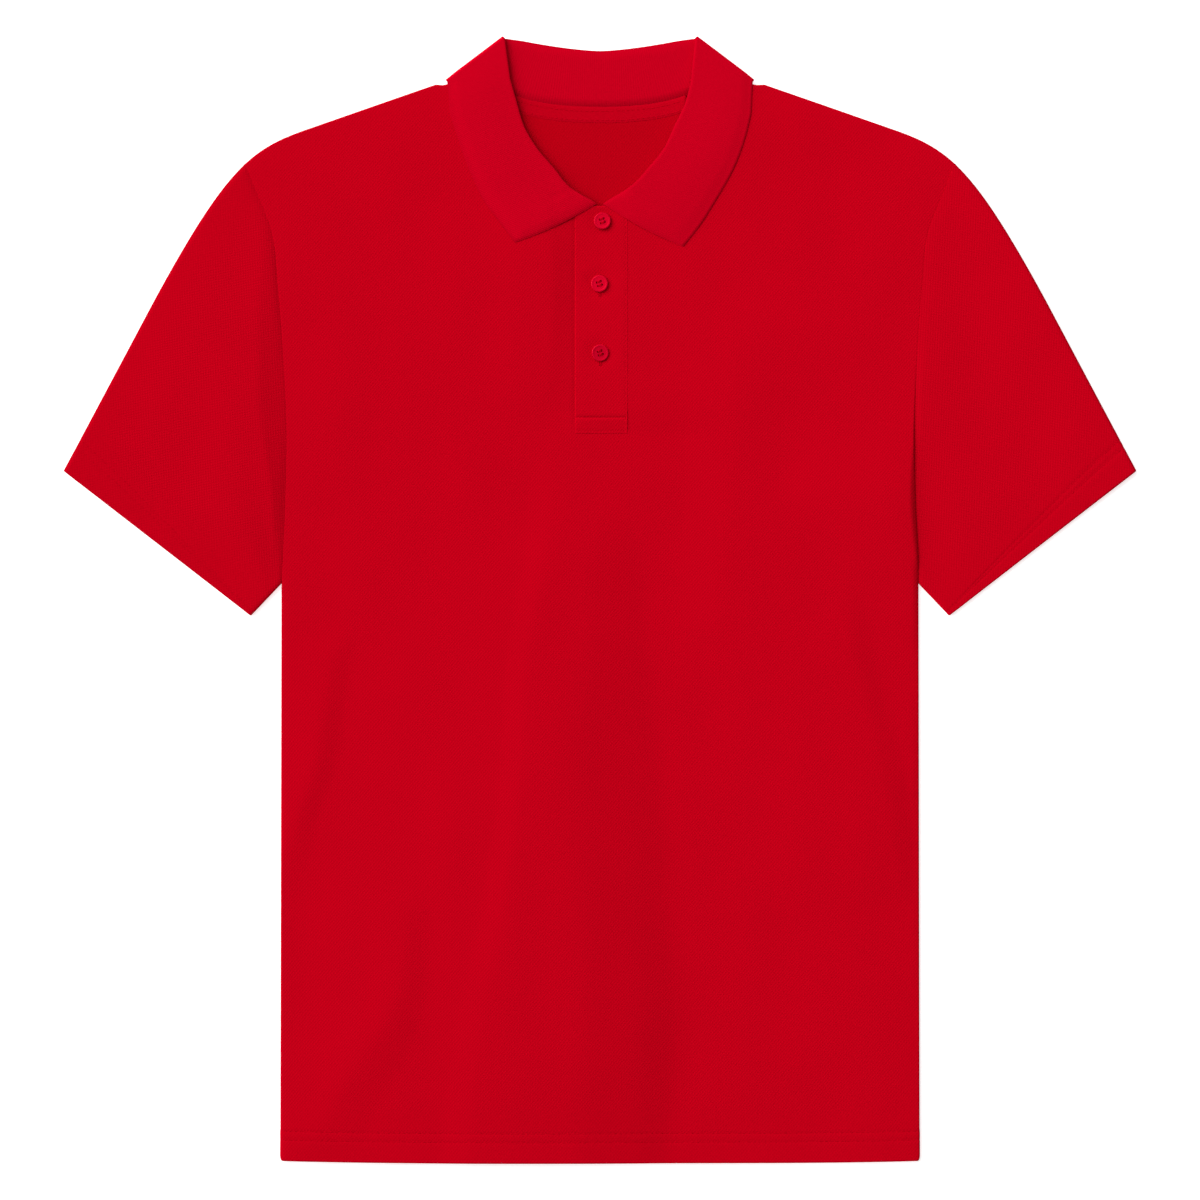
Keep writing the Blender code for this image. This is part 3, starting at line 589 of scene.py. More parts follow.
def front_base(x, y):
    """The outer face of the front panel without what lies beside its placket."""
    near_edge, wide, roll = edge_rises(x, y)
    folds = fold_height(x, y, FOLD_ROWS) + fold_height(x, y, ARMHOLE_FOLD) + ripple(x, y)
    loft = BODY_LOFT * (EDGE_NEAR_SHARE * near_edge + (1 - EDGE_NEAR_SHARE) * wide) + roll * folds
    near = neck_share(x, y)
    room = loft + (1 - roll) * near * NECK_ROOM
    room = room * (1 - near) + near * higher(room, NECK_ROOM)
    most = between(HEM_ROOM, MOST_ROOM, smoothstep((y - hem_y(x)) / HEM_RISE))
    room = most - higher(most - room, 0.0)
    return back_lift(x, y) + 2 * SOLID_KNIT + GAP + room


def front_top(x, y):
    """The outer face of the front panel."""
    beside = dent(x - PLACKET_LEFT + SIDE_GROOVE_PLACE, SIDE_GROOVE_WIDTH)
    up = smoothstep((y - PLACKET_BOTTOM) / SIDE_GROOVE_FADE)
    return front_base(x, y) + fold_height(x, y, OVERLAP_ROWS) - SIDE_GROOVE * beside * up


# ---- walls


def wall_arrays(grid, thickness, ring, holes, bulge):
    """Points and faces of a closed cloth wall on a grid of middle points, with rounded edges."""
    rows, columns = grid.shape[:2]
    thickness = np.broadcast_to(thickness, (rows, columns))
    bulge = np.broadcast_to(bulge, (rows, columns))
    down = np.gradient(grid, axis=0)
    if ring:
        across = (np.roll(grid, -1, axis=1) - np.roll(grid, 1, axis=1)) / 2
    else:
        across = np.gradient(grid, axis=1)
    normal = unit(np.cross(across, down))
    outer = grid + normal * thickness[..., None] / 2
    inner = grid - normal * thickness[..., None] / 2

    index = np.arange(rows * columns).reshape(rows, columns)
    right = np.roll(index, -1, axis=1)
    if not ring:
        index, right = index[:, :-1], right[:, :-1]
    quads = np.stack([index[:-1], right[:-1], right[1:], index[1:]], axis=-1)
    if holes is not None:
        quads = quads[~holes]
    quads = quads.reshape(-1, 4)

    count = rows * columns
    edges = np.concatenate([quads[:, [k, (k + 1) % 4]] for k in range(4)])
    key = np.sort(edges, axis=1)
    _, first, uses = np.unique(key[:, 0] * count + key[:, 1], return_index=True, return_counts=True)
    border = edges[first[uses == 1]]
    flat_grid, flat_normal = grid.reshape(-1, 3), normal.reshape(-1, 3)
    outward = np.zeros((count, 3))
    for end in (0, 1):
        step = flat_grid[border[:, 1]] - flat_grid[border[:, 0]]
        np.add.at(outward, border[:, end], unit(np.cross(step, flat_normal[border[:, end]])))
    outward = unit(outward)
    on_border = np.unique(border)
    rim_of = np.full(count, -1)
    rim_of[on_border] = 2 * count + np.arange(len(on_border))
    rim = flat_grid[on_border] + outward[on_border] * bulge.reshape(-1, 1)[on_border]

    points = np.concatenate([outer.reshape(-1, 3), inner.reshape(-1, 3), rim])
    start, end = border[:, 0], border[:, 1]
    faces = np.concatenate(
        [
            quads,
            quads[:, ::-1] + count,
            np.stack([end, start, rim_of[start], rim_of[end]], axis=1),
            np.stack([rim_of[end], rim_of[start], start + count, end + count], axis=1),
        ]
    )
    source = np.concatenate([np.arange(count), np.arange(count), on_border])
    used, flat = np.unique(faces, return_inverse=True)
    return points[used], flat.reshape(faces.shape), source[used], len(quads)


def add_object(name, data):
    made = bpy.data.objects.new(name, data)
    bpy.context.scene.collection.objects.link(made)
    return made


def finish_mesh(mesh, finish, sharp_angle):
    mesh.materials.append(finish)
    mesh.shade_smooth()
    mesh.set_sharp_from_angle(angle=sharp_angle)


def mesh_object(name, points, faces, finish, uv, sharp_angle, painted_shade=None):
    mesh = bpy.data.meshes.new(name)
    mesh.from_pydata(points.tolist(), [], faces.tolist())
    # Painted shade: each point's share of the darkening at turned edges and rolls
    if painted_shade is not None:
        tone = mesh.attributes.new("edge_painted_shade", "FLOAT", "POINT")
        tone.data.foreach_set("value", painted_shade.astype(np.float32))
    corners = np.empty(len(mesh.loops), np.int32)
    mesh.loops.foreach_get("vertex_index", corners)
    layer = mesh.uv_layers.new(name="cloth")
    layer.data.foreach_set("uv", uv[corners].astype(np.float32).ravel())
    finish_mesh(mesh, finish, sharp_angle)
    return add_object(name, mesh)


def add_wall(
    name, grid, thickness, finish, bulge, uv=None, ring=False, holes=None, outer_finish=None, painted_shade=0.0
):
    """A cloth wall, with its weave's coordinates in metres, the share of painted edge shade that each point
    has, and perhaps another finish on its outer face."""
    uv = grid[..., :2] if uv is None else uv
    points, faces, source, outer_count = wall_arrays(grid, thickness, ring, holes, bulge)
    painted_shade = np.broadcast_to(painted_shade, grid.shape[:2]).reshape(-1)[source]
    piece = mesh_object(name, points, faces, finish, uv.reshape(-1, 2)[source], WALL_SHARP, painted_shade)
    if outer_finish:
        piece.data.materials.append(outer_finish)
        slots = np.zeros(len(faces), np.int32)
        slots[:outer_count] = 1
        piece.data.polygons.foreach_set("material_index", slots)
    return piece


def place(piece, slot, *nodes):
    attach(piece, "root")
    if nodes:
        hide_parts(*nodes)
    return piece


# ---- panels

SEAM_DROP = 0.00085
GROOVE = 0.00005
FRONT_REACH = 0.0006
BACK_REACH = -0.0002
RIM_CLOTH = 0.0001
SIDE_CLOTH = 0.0005
TURN_REACH = 0.00045
EDGE_TURN = radians(0), radians(30), radians(60), radians(90)
EDGE_INSETS = tuple(KNIT / 2 + TURN_REACH * (1 - cos(angle)) for angle in EDGE_TURN)
EDGE_DROPS = tuple(1 - sin(angle) for angle in EDGE_TURN)
EDGE_MARGIN = 0.0006
EDGE_BULGE = 0.00006
HEM_BULGE = 0.0005
RIM_SHARPNESS = 100
# How fast the painted edge shade fades out towards the armhole rims
RIM_SHADE = 2
PLACKET_COLUMNS = {
    # out from the centre front, by side
    1: (0.0, 0.0081, PLACKET_RIGHT - SLOT_INSET)
    + (0.0167, 0.0172, 0.0177, 0.0182, 0.0187, 0.0200, 0.0225, 0.0260),
    -1: (0.0, 0.0071, -PLACKET_LEFT - SLOT_INSET)
    + (0.0154, 0.0164, 0.0170, 0.0175, 0.0180, 0.0185, 0.0192, 0.0205, 0.0250),
}
NECK_COLUMNS = (0.0300, 0.0370, 0.0440, 0.0500, 0.0560, 0.0610)
NECK_COLUMNS += (0.0650, 0.0685, 0.0715, 0.0738, 0.0755, 0.0765)
SHOULDER_COLUMNS = (NECK_HALF, 0.0800, 0.1115)
NEAR_INSETS = (0.0014, 0.0018, 0.0024, 0.0032, 0.0042, 0.0052, 0.0064)
NEAR_INSETS += (0.0080, 0.0100, 0.0120, 0.0150, 0.0180, 0.0210)
UNDERARM_BLEND = 0.004
REACH_FADE = 0.006
NECK_TURN_FADE = 0.004
HEM_STITCHES = (0.0146, 0.0206)
STITCH_GROOVE = 0.00016
PLACKET_GROOVE = 0.00005
GROOVE_WIDTH = 0.0007
HEM_INSETS = (0.0006, 0.0012, 0.0022, 0.0038, 0.0060, 0.0090, 0.0115, 0.0132, 0.0139, 0.0146, 0.0153, 0.0162)
HEM_STEP = (0.0180, 0.0192, 0.0199, 0.0206, 0.0213, 0.0220, 0.0230, 0.0245, 0.0265, 0.0290)
HEM_EDGE_START = 0.0006
HEM_EDGE_RUN = 0.0016
YOKE_START = 0.200
YOKE_LENGTH = 0.12
SEAM_ALLOWANCE = 0.0055
SEAM_HEIGHT = 0.00100
SEAM_CLOTH = 0.00022
SEAM_BULGE = 0.00005
SEAM_ENDS = (0.002, 0.998)
SEAM_POINTS = (120, 7)
SEAM_INNER_SHARE = 0.7
SEAM_TIP = 0.1
SEAM_TAPER = 0.04


def panel_columns(step):
    """Column places, and how much of the edge's turn each has."""
    outer = [*NECK_COLUMNS, *SHOULDER_COLUMNS, *(CHEST_HALF - inset for inset in NEAR_INSETS[::-1])]
    turn = [CHEST_HALF - inset for inset in EDGE_INSETS[::-1]]
    places, drops = {}, {}
    for side, beside_placket in PLACKET_COLUMNS.items():
        inside = fill_in([*beside_placket, *outer], step)
        places[side] = np.concatenate([inside, turn])
        drops[side] = np.concatenate([np.zeros(len(inside)), EDGE_DROPS[::-1]])
    return np.concatenate([-places[-1][:0:-1], places[1]]), np.concatenate([drops[-1][:0:-1], drops[1]])


def panel_plan(step, neck, groove, reach_out):
    """Plan points of a panel, the depth of the turn at its edges, and how near its armhole edge each is."""
    columns, side_turn = panel_columns(step)
    slot_y = PLACKET_BOTTOM + SLOT_INSET
    low_knots = [HEM_Y + inset for inset in HEM_INSETS + HEM_STEP]
    underarm = [UNDERARM_Y - UNDERARM_BLEND, UNDERARM_Y, UNDERARM_Y + UNDERARM_BLEND]
    low = fill_in([*low_knots, *underarm, slot_y, YOKE_START], step)
    low_levels = (low - HEM_Y) / (YOKE_START - HEM_Y)
    side_top = SHOULDER_POINT_Y - YOKE_START
    yoke = np.linspace(0.0, 1.0, int(np.ceil(YOKE_LENGTH / step)))[1:]
    edge_start = EDGE_INSETS[-1] + EDGE_MARGIN
    levels = np.concatenate([low_levels, 1.0 + yoke * (1 - edge_start / side_top)])
    turn_insets = EDGE_INSETS[::-1]
    below_yoke = HEM_Y + (YOKE_START - HEM_Y) * levels
    side_y = np.where(levels <= 1.0, below_yoke, YOKE_START + side_top * (levels - 1))
    side_y = np.concatenate([side_y, SHOULDER_POINT_Y - np.array(turn_insets)])
    outer = np.clip((np.abs(columns) - WIDEN_START) / (CHEST_HALF - WIDEN_START), 0.0, 1.0)
    side_x = half_width(side_y) + reach_out * smoothstep((side_y - UNDERARM_Y) / REACH_FADE)
    widen = (side_x - CHEST_HALF)[:, None] * (outer * np.sign(columns))[None, :]
    x = columns[None, :] + widen
    count = len(low_levels)
    y = np.empty_like(x)
    y[:count] = hem_y(x[:count]) + (YOKE_START - hem_y(x[:count])) * low_levels[:, None]
    lean = np.where(np.abs(x[-1]) > NECK_HALF, sqrt(1 + SHOULDER_SLOPE**2), 1.0)
    last = count + len(yoke)
    reach = top_y(x[-1], neck) - YOKE_START
    y[count:last] = YOKE_START + (reach - edge_start * lean) * yoke[:, None]
    for k, inset in enumerate(turn_insets):
        y[last + k] = YOKE_START + reach - inset * lean
    top_turn = np.zeros(len(side_y))
    top_turn[last:] = EDGE_DROPS[::-1]
    below = fade((y - UNDERARM_Y + UNDERARM_BLEND) / (2 * UNDERARM_BLEND))
    side_depth = between(groove, SEAM_DROP, below)
    top_depth = SEAM_DROP * smoothstep((np.abs(x) - NECK_HALF) / NECK_TURN_FADE)
    if groove:
        side_depth = side_depth + (1 - below) * fold_height(x, y, ARMHOLE_FOLD) * (x > 0)
    drop = np.maximum(side_turn[None, :] * side_depth, top_turn[:, None] * top_depth)
    rim = side_turn[None, :] * (1 - below)
    return x, y, drop, rim


def panel_cloth(x, y):
    """Thickness of a panel: more along the hem, where the cloth is double."""
    return between(KNIT, HEM_CLOTH, fade((y - hem_y(x) - HEM_DEPTH + HEM_EDGE_START) / HEM_EDGE_RUN))


def stitch_groove(from_hem, rows):
    """How far a hem's stitches draw the cloth in."""
    return STITCH_GROOVE * sum(dent(from_hem - row, GROOVE_WIDTH) for row in rows)


def edge_turn(drop, thickness):
    """The turn at an edge, smaller where the cloth is thicker."""
    return drop - np.clip(thickness - KNIT, 0.0, None) / 2 * np.minimum(drop / SEAM_DROP, 1.0)


def edge_bulges(shape, hem_row):
    """How far each point of an edge rounds out: more at the hem, which is one row of the grid."""
    bulge = np.full(shape, EDGE_BULGE)
    bulge[hem_row] = HEM_BULGE
    return bulge


def back_rise(x, y):
    """Shallow folds where the back doesn't touch the surface that it lies on."""
    inside = rise(half_width(np.minimum(y, SHOULDER_POINT_Y)) - np.abs(x), BACK_FADE)
    inside = inside * smoothstep((y - HEM_Y - HEM_DEPTH) / BACK_FADE)
    return inside * smoothstep((BACK_FOLD_TOP - y) / BACK_FADE) * fold_height(x, y, BACK_ROWS)


# The back's inner face takes the reverse finish: the knit's reverse side with painted shade inside the neck
# opening
def add_back(finish, reverse_shaded):
    x, y, drop, _ = panel_plan(BACK_STEP, BACK_NECK, 0.0, BACK_REACH)
    cloth, groove = panel_cloth(x, y), stitch_groove(y - hem_y(x), HEM_STITCHES)
    z = back_lift(x, y) + back_rise(x, y) + cloth / 2 + edge_turn(drop, cloth) + groove / 2
    bulge = edge_bulges(x.shape, 0)
    return add_wall("back_cloth", stacked(x, y, z), cloth - groove, finish, bulge, outer_finish=reverse_shaded)


def in_slot(x, y):
    """Where the front is cut away under its placket."""
    across = (x > PLACKET_LEFT + SLOT_INSET) & (x < PLACKET_RIGHT - SLOT_INSET)
    return across & (y > PLACKET_BOTTOM + SLOT_INSET)


def add_front(finish):
    x, y, drop, rim = panel_plan(STEP, FRONT_NECK, GROOVE, FRONT_REACH)
    groove = stitch_groove(y - hem_y(x), HEM_STITCHES)
    turned = np.clip(drop / SEAM_DROP, 0.0, 1.0)
    cloth = between(panel_cloth(x, y), RIM_CLOTH, rim)
    cloth = between(cloth, SIDE_CLOTH, turned * (1 - np.clip(rim * RIM_SHARPNESS, 0.0, 1.0)))
    z = front_top(x, y) - cloth / 2 - edge_turn(drop, cloth) - groove / 2
    slot = in_slot(*((part[:-1, :-1] + part[1:, 1:]) / 2 for part in (x, y)))
    # Painted shade over the turned side and shoulder edges, and none at the armhole rims
    painted_shade = turned * (1 - np.clip(RIM_SHADE * rim, 0.0, 1.0))
    bulge = edge_bulges(x.shape, 0)
    return add_wall("front_cloth", stacked(x, y, z), cloth - groove, finish, bulge, holes=slot, painted_shade=painted_shade)


def add_armhole_seam(name, side, finish):
    """The seam allowances inside an armhole, which close it from the body into the sleeve."""
    line = along(armhole_line(), np.linspace(*SEAM_ENDS, SEAM_POINTS[0]))
    share = np.linspace(0.0, 1.0, len(line))
    spread = between(SEAM_TIP, 1, smoothstep(np.minimum(share, 1 - share) / SEAM_TAPER))
    across = np.linspace(-SEAM_ALLOWANCE, SEAM_ALLOWANCE * SEAM_INNER_SHARE, SEAM_POINTS[1])
    x = side * (line[:, 0][:, None] + spread[:, None] * across[None, :])
    y = line[:, 1][:, None] * np.ones((1, len(across)))
    grid = stacked(x, y, np.full(x.shape, SEAM_HEIGHT))
    if side < 0:
        grid = grid[:, ::-1]
    return add_wall(name, grid, SEAM_CLOTH, finish, SEAM_BULGE)


# ---- sleeves

SLEEVE_UPPER = 84
SLEEVE_LOWER = 50
SLEEVE_TURN = 6
SEAM_GAP = 0.00006
SEAM_DIPS = {-1: 0.00008, 1: -0.00020}
SEAM_DIP_REACH = 0.0015
SLEEVE_HEM = 0.0176
SLEEVE_STITCHES = (0.0130, 0.0170)
LOWER_FOLD = 0.0005
LOWER_EDGES = (0.008, 0.022)
LOWER_FADE = 0.02
LOWER_WAVES = (1.6, 0.7)
ARMHOLE_POINTS = 80
RIPPLE_SHARE = 1.5
TURN_BLEND = 0.006
REACH_PLACE = 0.6
SEAM_STATIONS = (0.0, 0.0008, 0.002, 0.004, 0.007, 0.011)
STITCH_STATIONS = (0.0007, 0.0, -0.0007)
ABOVE_STITCHES = (0.0240, 0.0200, 0.0185)
BELOW_STITCHES = (0.0110, 0.0075, 0.0045, 0.0022, 0.0012, 0.0006)
NEAR_STATION = 0.0005


def armhole_line():
    y = np.linspace(UNDERARM_Y, SHOULDER_POINT_Y, ARMHOLE_POINTS)
    return stacked(half_width(np.maximum(y, UNDERARM_Y + HAIR)), y)


def sleeve_plan(u, v):
    """Plan point of a right sleeve: u runs from armhole to hem and v from underarm to top fold."""
    armhole = armhole_line() + np.array([SEAM_GAP, 0.0])
    shoulder = armhole[-1]
    past = TOP_OUTLINE[TOP_OUTLINE[:, 0] > shoulder[0]]
    top = np.concatenate([[shoulder], past])
    underarm = armhole[0]
    hem = np.array([SLEEVE_INNER, SLEEVE_OUTER])
    seam = np.array([underarm, SLEEVE_INNER])
    u2, v2 = u[..., None], v[..., None]
    across = (1 - v2) * along(seam, u) + v2 * along(top, u)
    up = (1 - u2) * along(armhole, v) + u2 * along(hem, v)
    corners = (1 - u2) * ((1 - v2) * underarm + v2 * shoulder) + u2 * ((1 - v2) * hem[0] + v2 * hem[1])
    return across + up - corners


def sleeve_room(x, y, u, v, side):
    """Room inside the flat sleeve, with its folds. It lies lower beside the front's raised edge."""
    reach = SLEEVE_UNDER_LENGTH + SLEEVE_EXTRA_LENGTH * v
    from_seam = 1 - (1 - np.clip(u * reach / SLEEVE_ROLL, 0.0, 1.0)) ** 2
    folds = fold_height(side * x, y, SLEEVE_ROWS[side])
    beside = fold_height(side * x, y, ARMHOLE_FOLD) * SLEEVE_DIP * fade(u * reach / DIP_REACH)
    return GAP + from_seam * (SLEEVE_AIR + folds + RIPPLE_SHARE * ripple(side * x, y)) - beside


def sleeve_stations():
    """Shares along a sleeve, closer by the armhole seam and by the hem's stitches."""
    reach = SLEEVE_UNDER_LENGTH + SLEEVE_EXTRA_LENGTH * REACH_PLACE
    stitches = [row + step for row in SLEEVE_STITCHES[::-1] for step in STITCH_STATIONS]
    knots = [step / reach for step in SEAM_STATIONS]
    knots += [1 - step / reach for step in (*ABOVE_STITCHES, *stitches, *BELOW_STITCHES)]
    return fill_in(knots, STEP / reach), reach


def sleeve_ring(u, side, reach):
    """One section of a sleeve: its points, the thickness of its cloth, its weave's coordinates, and the
    share of painted edge shade that each point has."""
    ends = sleeve_plan(np.full(2, u), np.array([0.0, 1.0]))
    width = np.linalg.norm(ends[1] - ends[0])
    room = sleeve_room(ends[:, 0], ends[:, 1], np.full(2, u), np.array([0.0, 1.0]), side)
    from_hem = (1 - u) * reach
    groove = stitch_groove(from_hem, SLEEVE_STITCHES)
    cloth = between(KNIT, HEM_CLOTH, fade((from_hem - SLEEVE_HEM) / HEM_EDGE_RUN))
    radius = (2 * SOLID_KNIT + room - cloth) / 2
    inset = (cloth / 2 + radius * FOLD_SQUASH) / width
    v_up = inset[0] + (1 - inset.sum()) * np.linspace(0.0, 1.0, SLEEVE_UPPER)
    v_low = inset[0] + (1 - inset.sum()) * np.linspace(0.0, 1.0, SLEEVE_LOWER)
    flat_up = sleeve_plan(np.full_like(v_up, u), v_up)
    flat_low = sleeve_plan(np.full_like(v_low, u), v_low)
    rise_up = sleeve_room(flat_up[:, 0], flat_up[:, 1], np.full_like(v_up, u), v_up, side)
    blend = smoothstep(np.minimum(v_up - inset[0], 1 - inset[1] - v_up) * width / TURN_BLEND)
    rise_up = between(np.where(v_up < 0.5, room[0], room[1]), rise_up, blend)
    dip = SEAM_DIPS[side] * dent(u * reach, SEAM_DIP_REACH)
    upper_z = FLOOR + 2 * SOLID_KNIT + rise_up - cloth / 2 - groove / 2 - dip
    from_ends = (u * reach - LOWER_EDGES[0], from_hem - LOWER_EDGES[1])
    under = smoothstep(from_ends[0] / LOWER_FADE) * smoothstep(from_ends[1] / LOWER_FADE)
    under = under * np.sin(pi * (v_low - inset[0]) / (1 - inset.sum()))
    wave = 0.5 + 0.5 * np.sin(2 * pi * (LOWER_WAVES[0] * v_low + LOWER_WAVES[1] * u) + side)
    lower_z = FLOOR + cloth / 2 + groove / 2 + LOWER_FOLD * under * wave
    over_top = turn_points(flat_up[-1], flat_up[-1] - flat_up[-2], radius[1], cloth)
    under_arm = turn_points(flat_up[0], flat_up[0] - flat_up[1], radius[0], cloth)
    lower = np.column_stack([flat_low, lower_z])
    upper = np.column_stack([flat_up, upper_z])[::-1]
    ring = np.concatenate([lower, over_top, upper, under_arm[::-1]])
    hem = unit(np.array(SLEEVE_OUTER) - np.array(SLEEVE_INNER))
    weave = np.column_stack([ring[:, :2] @ hem, ring[:, :2] @ np.array([hem[1], -hem[0]])])
    ring[:, 0] *= side
    # Painted shade over the turn at the sleeve's top fold
    turned = np.sin(pi * np.arange(1, SLEEVE_TURN) / SLEEVE_TURN)
    painted_shade = np.concatenate([np.zeros(len(lower)), turned, np.zeros(len(upper) + len(under_arm))])
    return ring, np.full(len(ring), cloth - groove), weave, painted_shade


def add_sleeve(name, side, finish):
    stations, reach = sleeve_stations()
    rings = [sleeve_ring(u, side, reach) for u in stations]
    grid, thickness, uv, painted_shade = (np.array(part) for part in zip(*rings))
    bulge = edge_bulges(thickness.shape, -1)
    if side < 0:
        grid, thickness, uv, bulge, painted_shade = (part[:, ::-1] for part in (grid, thickness, uv, bulge, painted_shade))
    return add_wall(name, grid, thickness, finish, bulge, uv=uv, ring=True, painted_shade=painted_shade)


def sleeve_stitch_path(from_hem, side):
    """The closed line of a row of stitches round a sleeve's hem, and the directions out of the cloth."""
    _, reach = sleeve_stations()
    near = NEAR_STATION / reach
    rows = [sleeve_ring(1 - from_hem / reach + k * near, side, reach) for k in (-1, 0, 1)]
    points = [row[0] for row in rows]
    along_ring = np.roll(points[1], -1, axis=0) - np.roll(points[1], 1, axis=0)
    outward = unit(np.cross(along_ring, points[2] - points[0]) * side)
    path = points[1] + outward * rows[1][1][:, None] / 2
    return np.concatenate([path, path[:1]]), np.concatenate([outward, outward[:1]])


def turn_points(centre, outward, radius, cloth):
    outward = unit(outward)
    turn = []
    for step in range(1, SLEEVE_TURN):
        angle = -pi / 2 + pi * step / SLEEVE_TURN
        spot = centre + outward * radius * FOLD_SQUASH * cos(angle)
        turn.append((*spot, FLOOR + cloth / 2 + radius + radius * sin(angle)))
    return np.array(turn)


# ---- collar

STAND_STEPS = 6
ROLL_STEPS = 10
FALL_STEPS = 30
LEAF_STATIONS = 48
SIDE_STATIONS = 17
BACK_STATIONS = 45
LEAF_BOW = 0.0020
LEAF_CROWN = 0.0003
ROLL_SQUASH = 0.35
SELVAGE = 0.00036
END_CLOTH = 0.00028
# How much painted shade the collar's outer edge gets
SELVAGE_PAINTED_SHADE = 0.5
END_DROP = 0.0006
END_REACH = 0.0060
SELVAGE_START = 0.80
# Where the painted shade at the outer edge starts down the fall, and how much of the roll it covers
SELVAGE_PAINTED_SHADE_START = 0.96
ROLL_PAINTED_SHADE = 1.8
COLLAR_BULGE = 0.00018
END_DROP_SPAN = 0.25
BOW_SPAN = 0.16
SETTLE_SPAN = 0.6
NECK_POINTS = 60


def neck_line(neck):
    x = NECK_HALF * np.cos(np.linspace(0.0, pi / 2, NECK_POINTS))
    return stacked(x, neck_y(x, **neck))


def inside_neck(share, neck):
    spot = along(neck_line(neck), np.array(share))
    inward = np.array([0.0, NECK_POINT_Y]) - spot
    return spot + unit(inward) * 2 * GAP


def placket_share(x, y):
    beside = np.maximum(PLACKET_LEFT - x, x - PLACKET_RIGHT)
    past = np.maximum(y - neck_y(x, **FRONT_NECK), PLACKET_BOTTOM - y)
    return fade((np.maximum(beside, past) - PLACKET_FLAT) / PLACKET_FADE)


def placket_face(x, y):
    """The outer face of the top placket: just above the left front, and level with the right one."""
    across = np.clip((x - PLACKET_LEFT) / (PLACKET_RIGHT - PLACKET_LEFT), 0.0, 1.0)
    lift = between(*PLACKET_RISES, across)
    low = fade((y - PLACKET_BOTTOM) / PLACKET_HEM_RUN)
    lift = lift * (1 - low) + low * (front_top(x, y) - front_base(x, y) + PLACKET_HEM_RISE)
    for line_y, depth in BOX_GROOVES:
        lift = lift - depth * dent(y - line_y, BOX_GROOVE_WIDTH) * (x < PLACKET_SEAM + BOX_GROOVE_END)
    lift = lift - PLACKET_GROOVE * dent(x - PLACKET_SEAM, GROOVE_WIDTH)
    dimple = 0.0
    for spot_x, spot_y, *_ in BUTTONS:
        dimple = dimple + np.exp(-((x - spot_x) ** 2 + (y - spot_y) ** 2) / DIMPLE_RADIUS**2)
    return front_base(x, y) + lift - DIMPLE * dimple


def chest_top(x, y):
    """The outer face of the front with its placket, on which the collar lies."""
    return between(front_top(x, y), placket_face(x, y), placket_share(x, y))


def section(base, stand, fall, edge, forward, bow=0.0):
    """One section of the collar: up the stand, over the roll, and down the fall to its edge."""
    middle = (stand + fall) / 2
    half = (fall - stand) / 2
    reach = np.linalg.norm(half)
    points = [base + (stand - base) * k / STAND_STEPS for k in range(STAND_STEPS)]
    for step in range(ROLL_STEPS + 1):
        angle = pi * step / ROLL_STEPS
        points.append(middle - half * cos(angle) + forward * reach * ROLL_SQUASH * sin(angle))
    for step in range(1, FALL_STEPS + 1):
        t = step / FALL_STEPS
        spot = fall + (edge - fall) * t
        spot[1] -= bow * sin(pi * t)
        points.append(spot)
    return points


def leaf_sections(rows, side):
    knots = np.linspace(0.0, LEAF_SPAN, len(rows))
    stations = np.linspace(0.0, LEAF_SPAN, LEAF_STATIONS)
    plan = through(knots, rows, stations)
    roll, edge = plan[:, :2], plan[:, 2:]
    forward = unit(roll - edge)
    rest = LEAF_ROOM + RIB / 2
    roll_z = chest_top(roll[:, 0], roll[:, 1]) + rest + LEAF_EXTRA
    edge_z = chest_top(edge[:, 0], edge[:, 1]) + rest
    sections = []
    for k, t in enumerate(stations):
        base_x, base_y = inside_neck(LEAF_BASE_START * (1 - t) ** LEAF_BASE_POWER, FRONT_NECK)
        base_z = float(front_top(np.array(side * base_x), np.array(base_y))) - KNIT / 2
        base_z -= END_DROP * fade(t / END_DROP_SPAN)
        base = np.array([side * base_x, base_y, base_z])
        fall = np.array([*(roll[k] - forward[k] * (ROLL_RADIUS + RIB / 2)), roll_z[k]])
        stand = fall - np.array([0.0, 0.0, 2 * ROLL_RADIUS])
        end = np.array([*edge[k], edge_z[k]])
        bow = LEAF_BOW * fade(t / BOW_SPAN)
        sections.append(section(base, stand, fall, end, np.array([*forward[k], 0.0]), bow))
    leaf = np.array(sections)
    fall = leaf[:, STAND_STEPS + ROLL_STEPS :]
    down = np.linspace(0.0, 1.0, FALL_STEPS + 1)[None, :]
    low = chest_top(fall[..., 0], fall[..., 1]) + rest
    settled = low + (fall[:, :1, 2] - low[:, :1]) * fade(down / SETTLE_SPAN)
    fall[..., 2] = settled + LEAF_CROWN * np.sin(pi * down) ** 2
    return list(leaf)


def side_heights():
    corner = np.array(COLLAR_CORNER)
    fall_low = RIB / 2 + FLOOR
    base_low = RIB + GAP + KNIT / 2
    base_high = RIB + GAP + 2 * SOLID_KNIT + GAP + NECK_ROOM - KNIT / 2
    fall_high = base_high + KNIT / 2 + LEAF_ROOM + RIB / 2 + SIDE_EXTRA
    edge_high = float(chest_top(corner[0], corner[1])) + LEAF_ROOM + RIB / 2
    return {
        "base": (base_low, base_high),
        "stand": (fall_low + 2 * ROLL_RADIUS, fall_high - 2 * ROLL_RADIUS),
        "fall": (fall_low, fall_high),
        "edge": (fall_low, edge_high),
    }


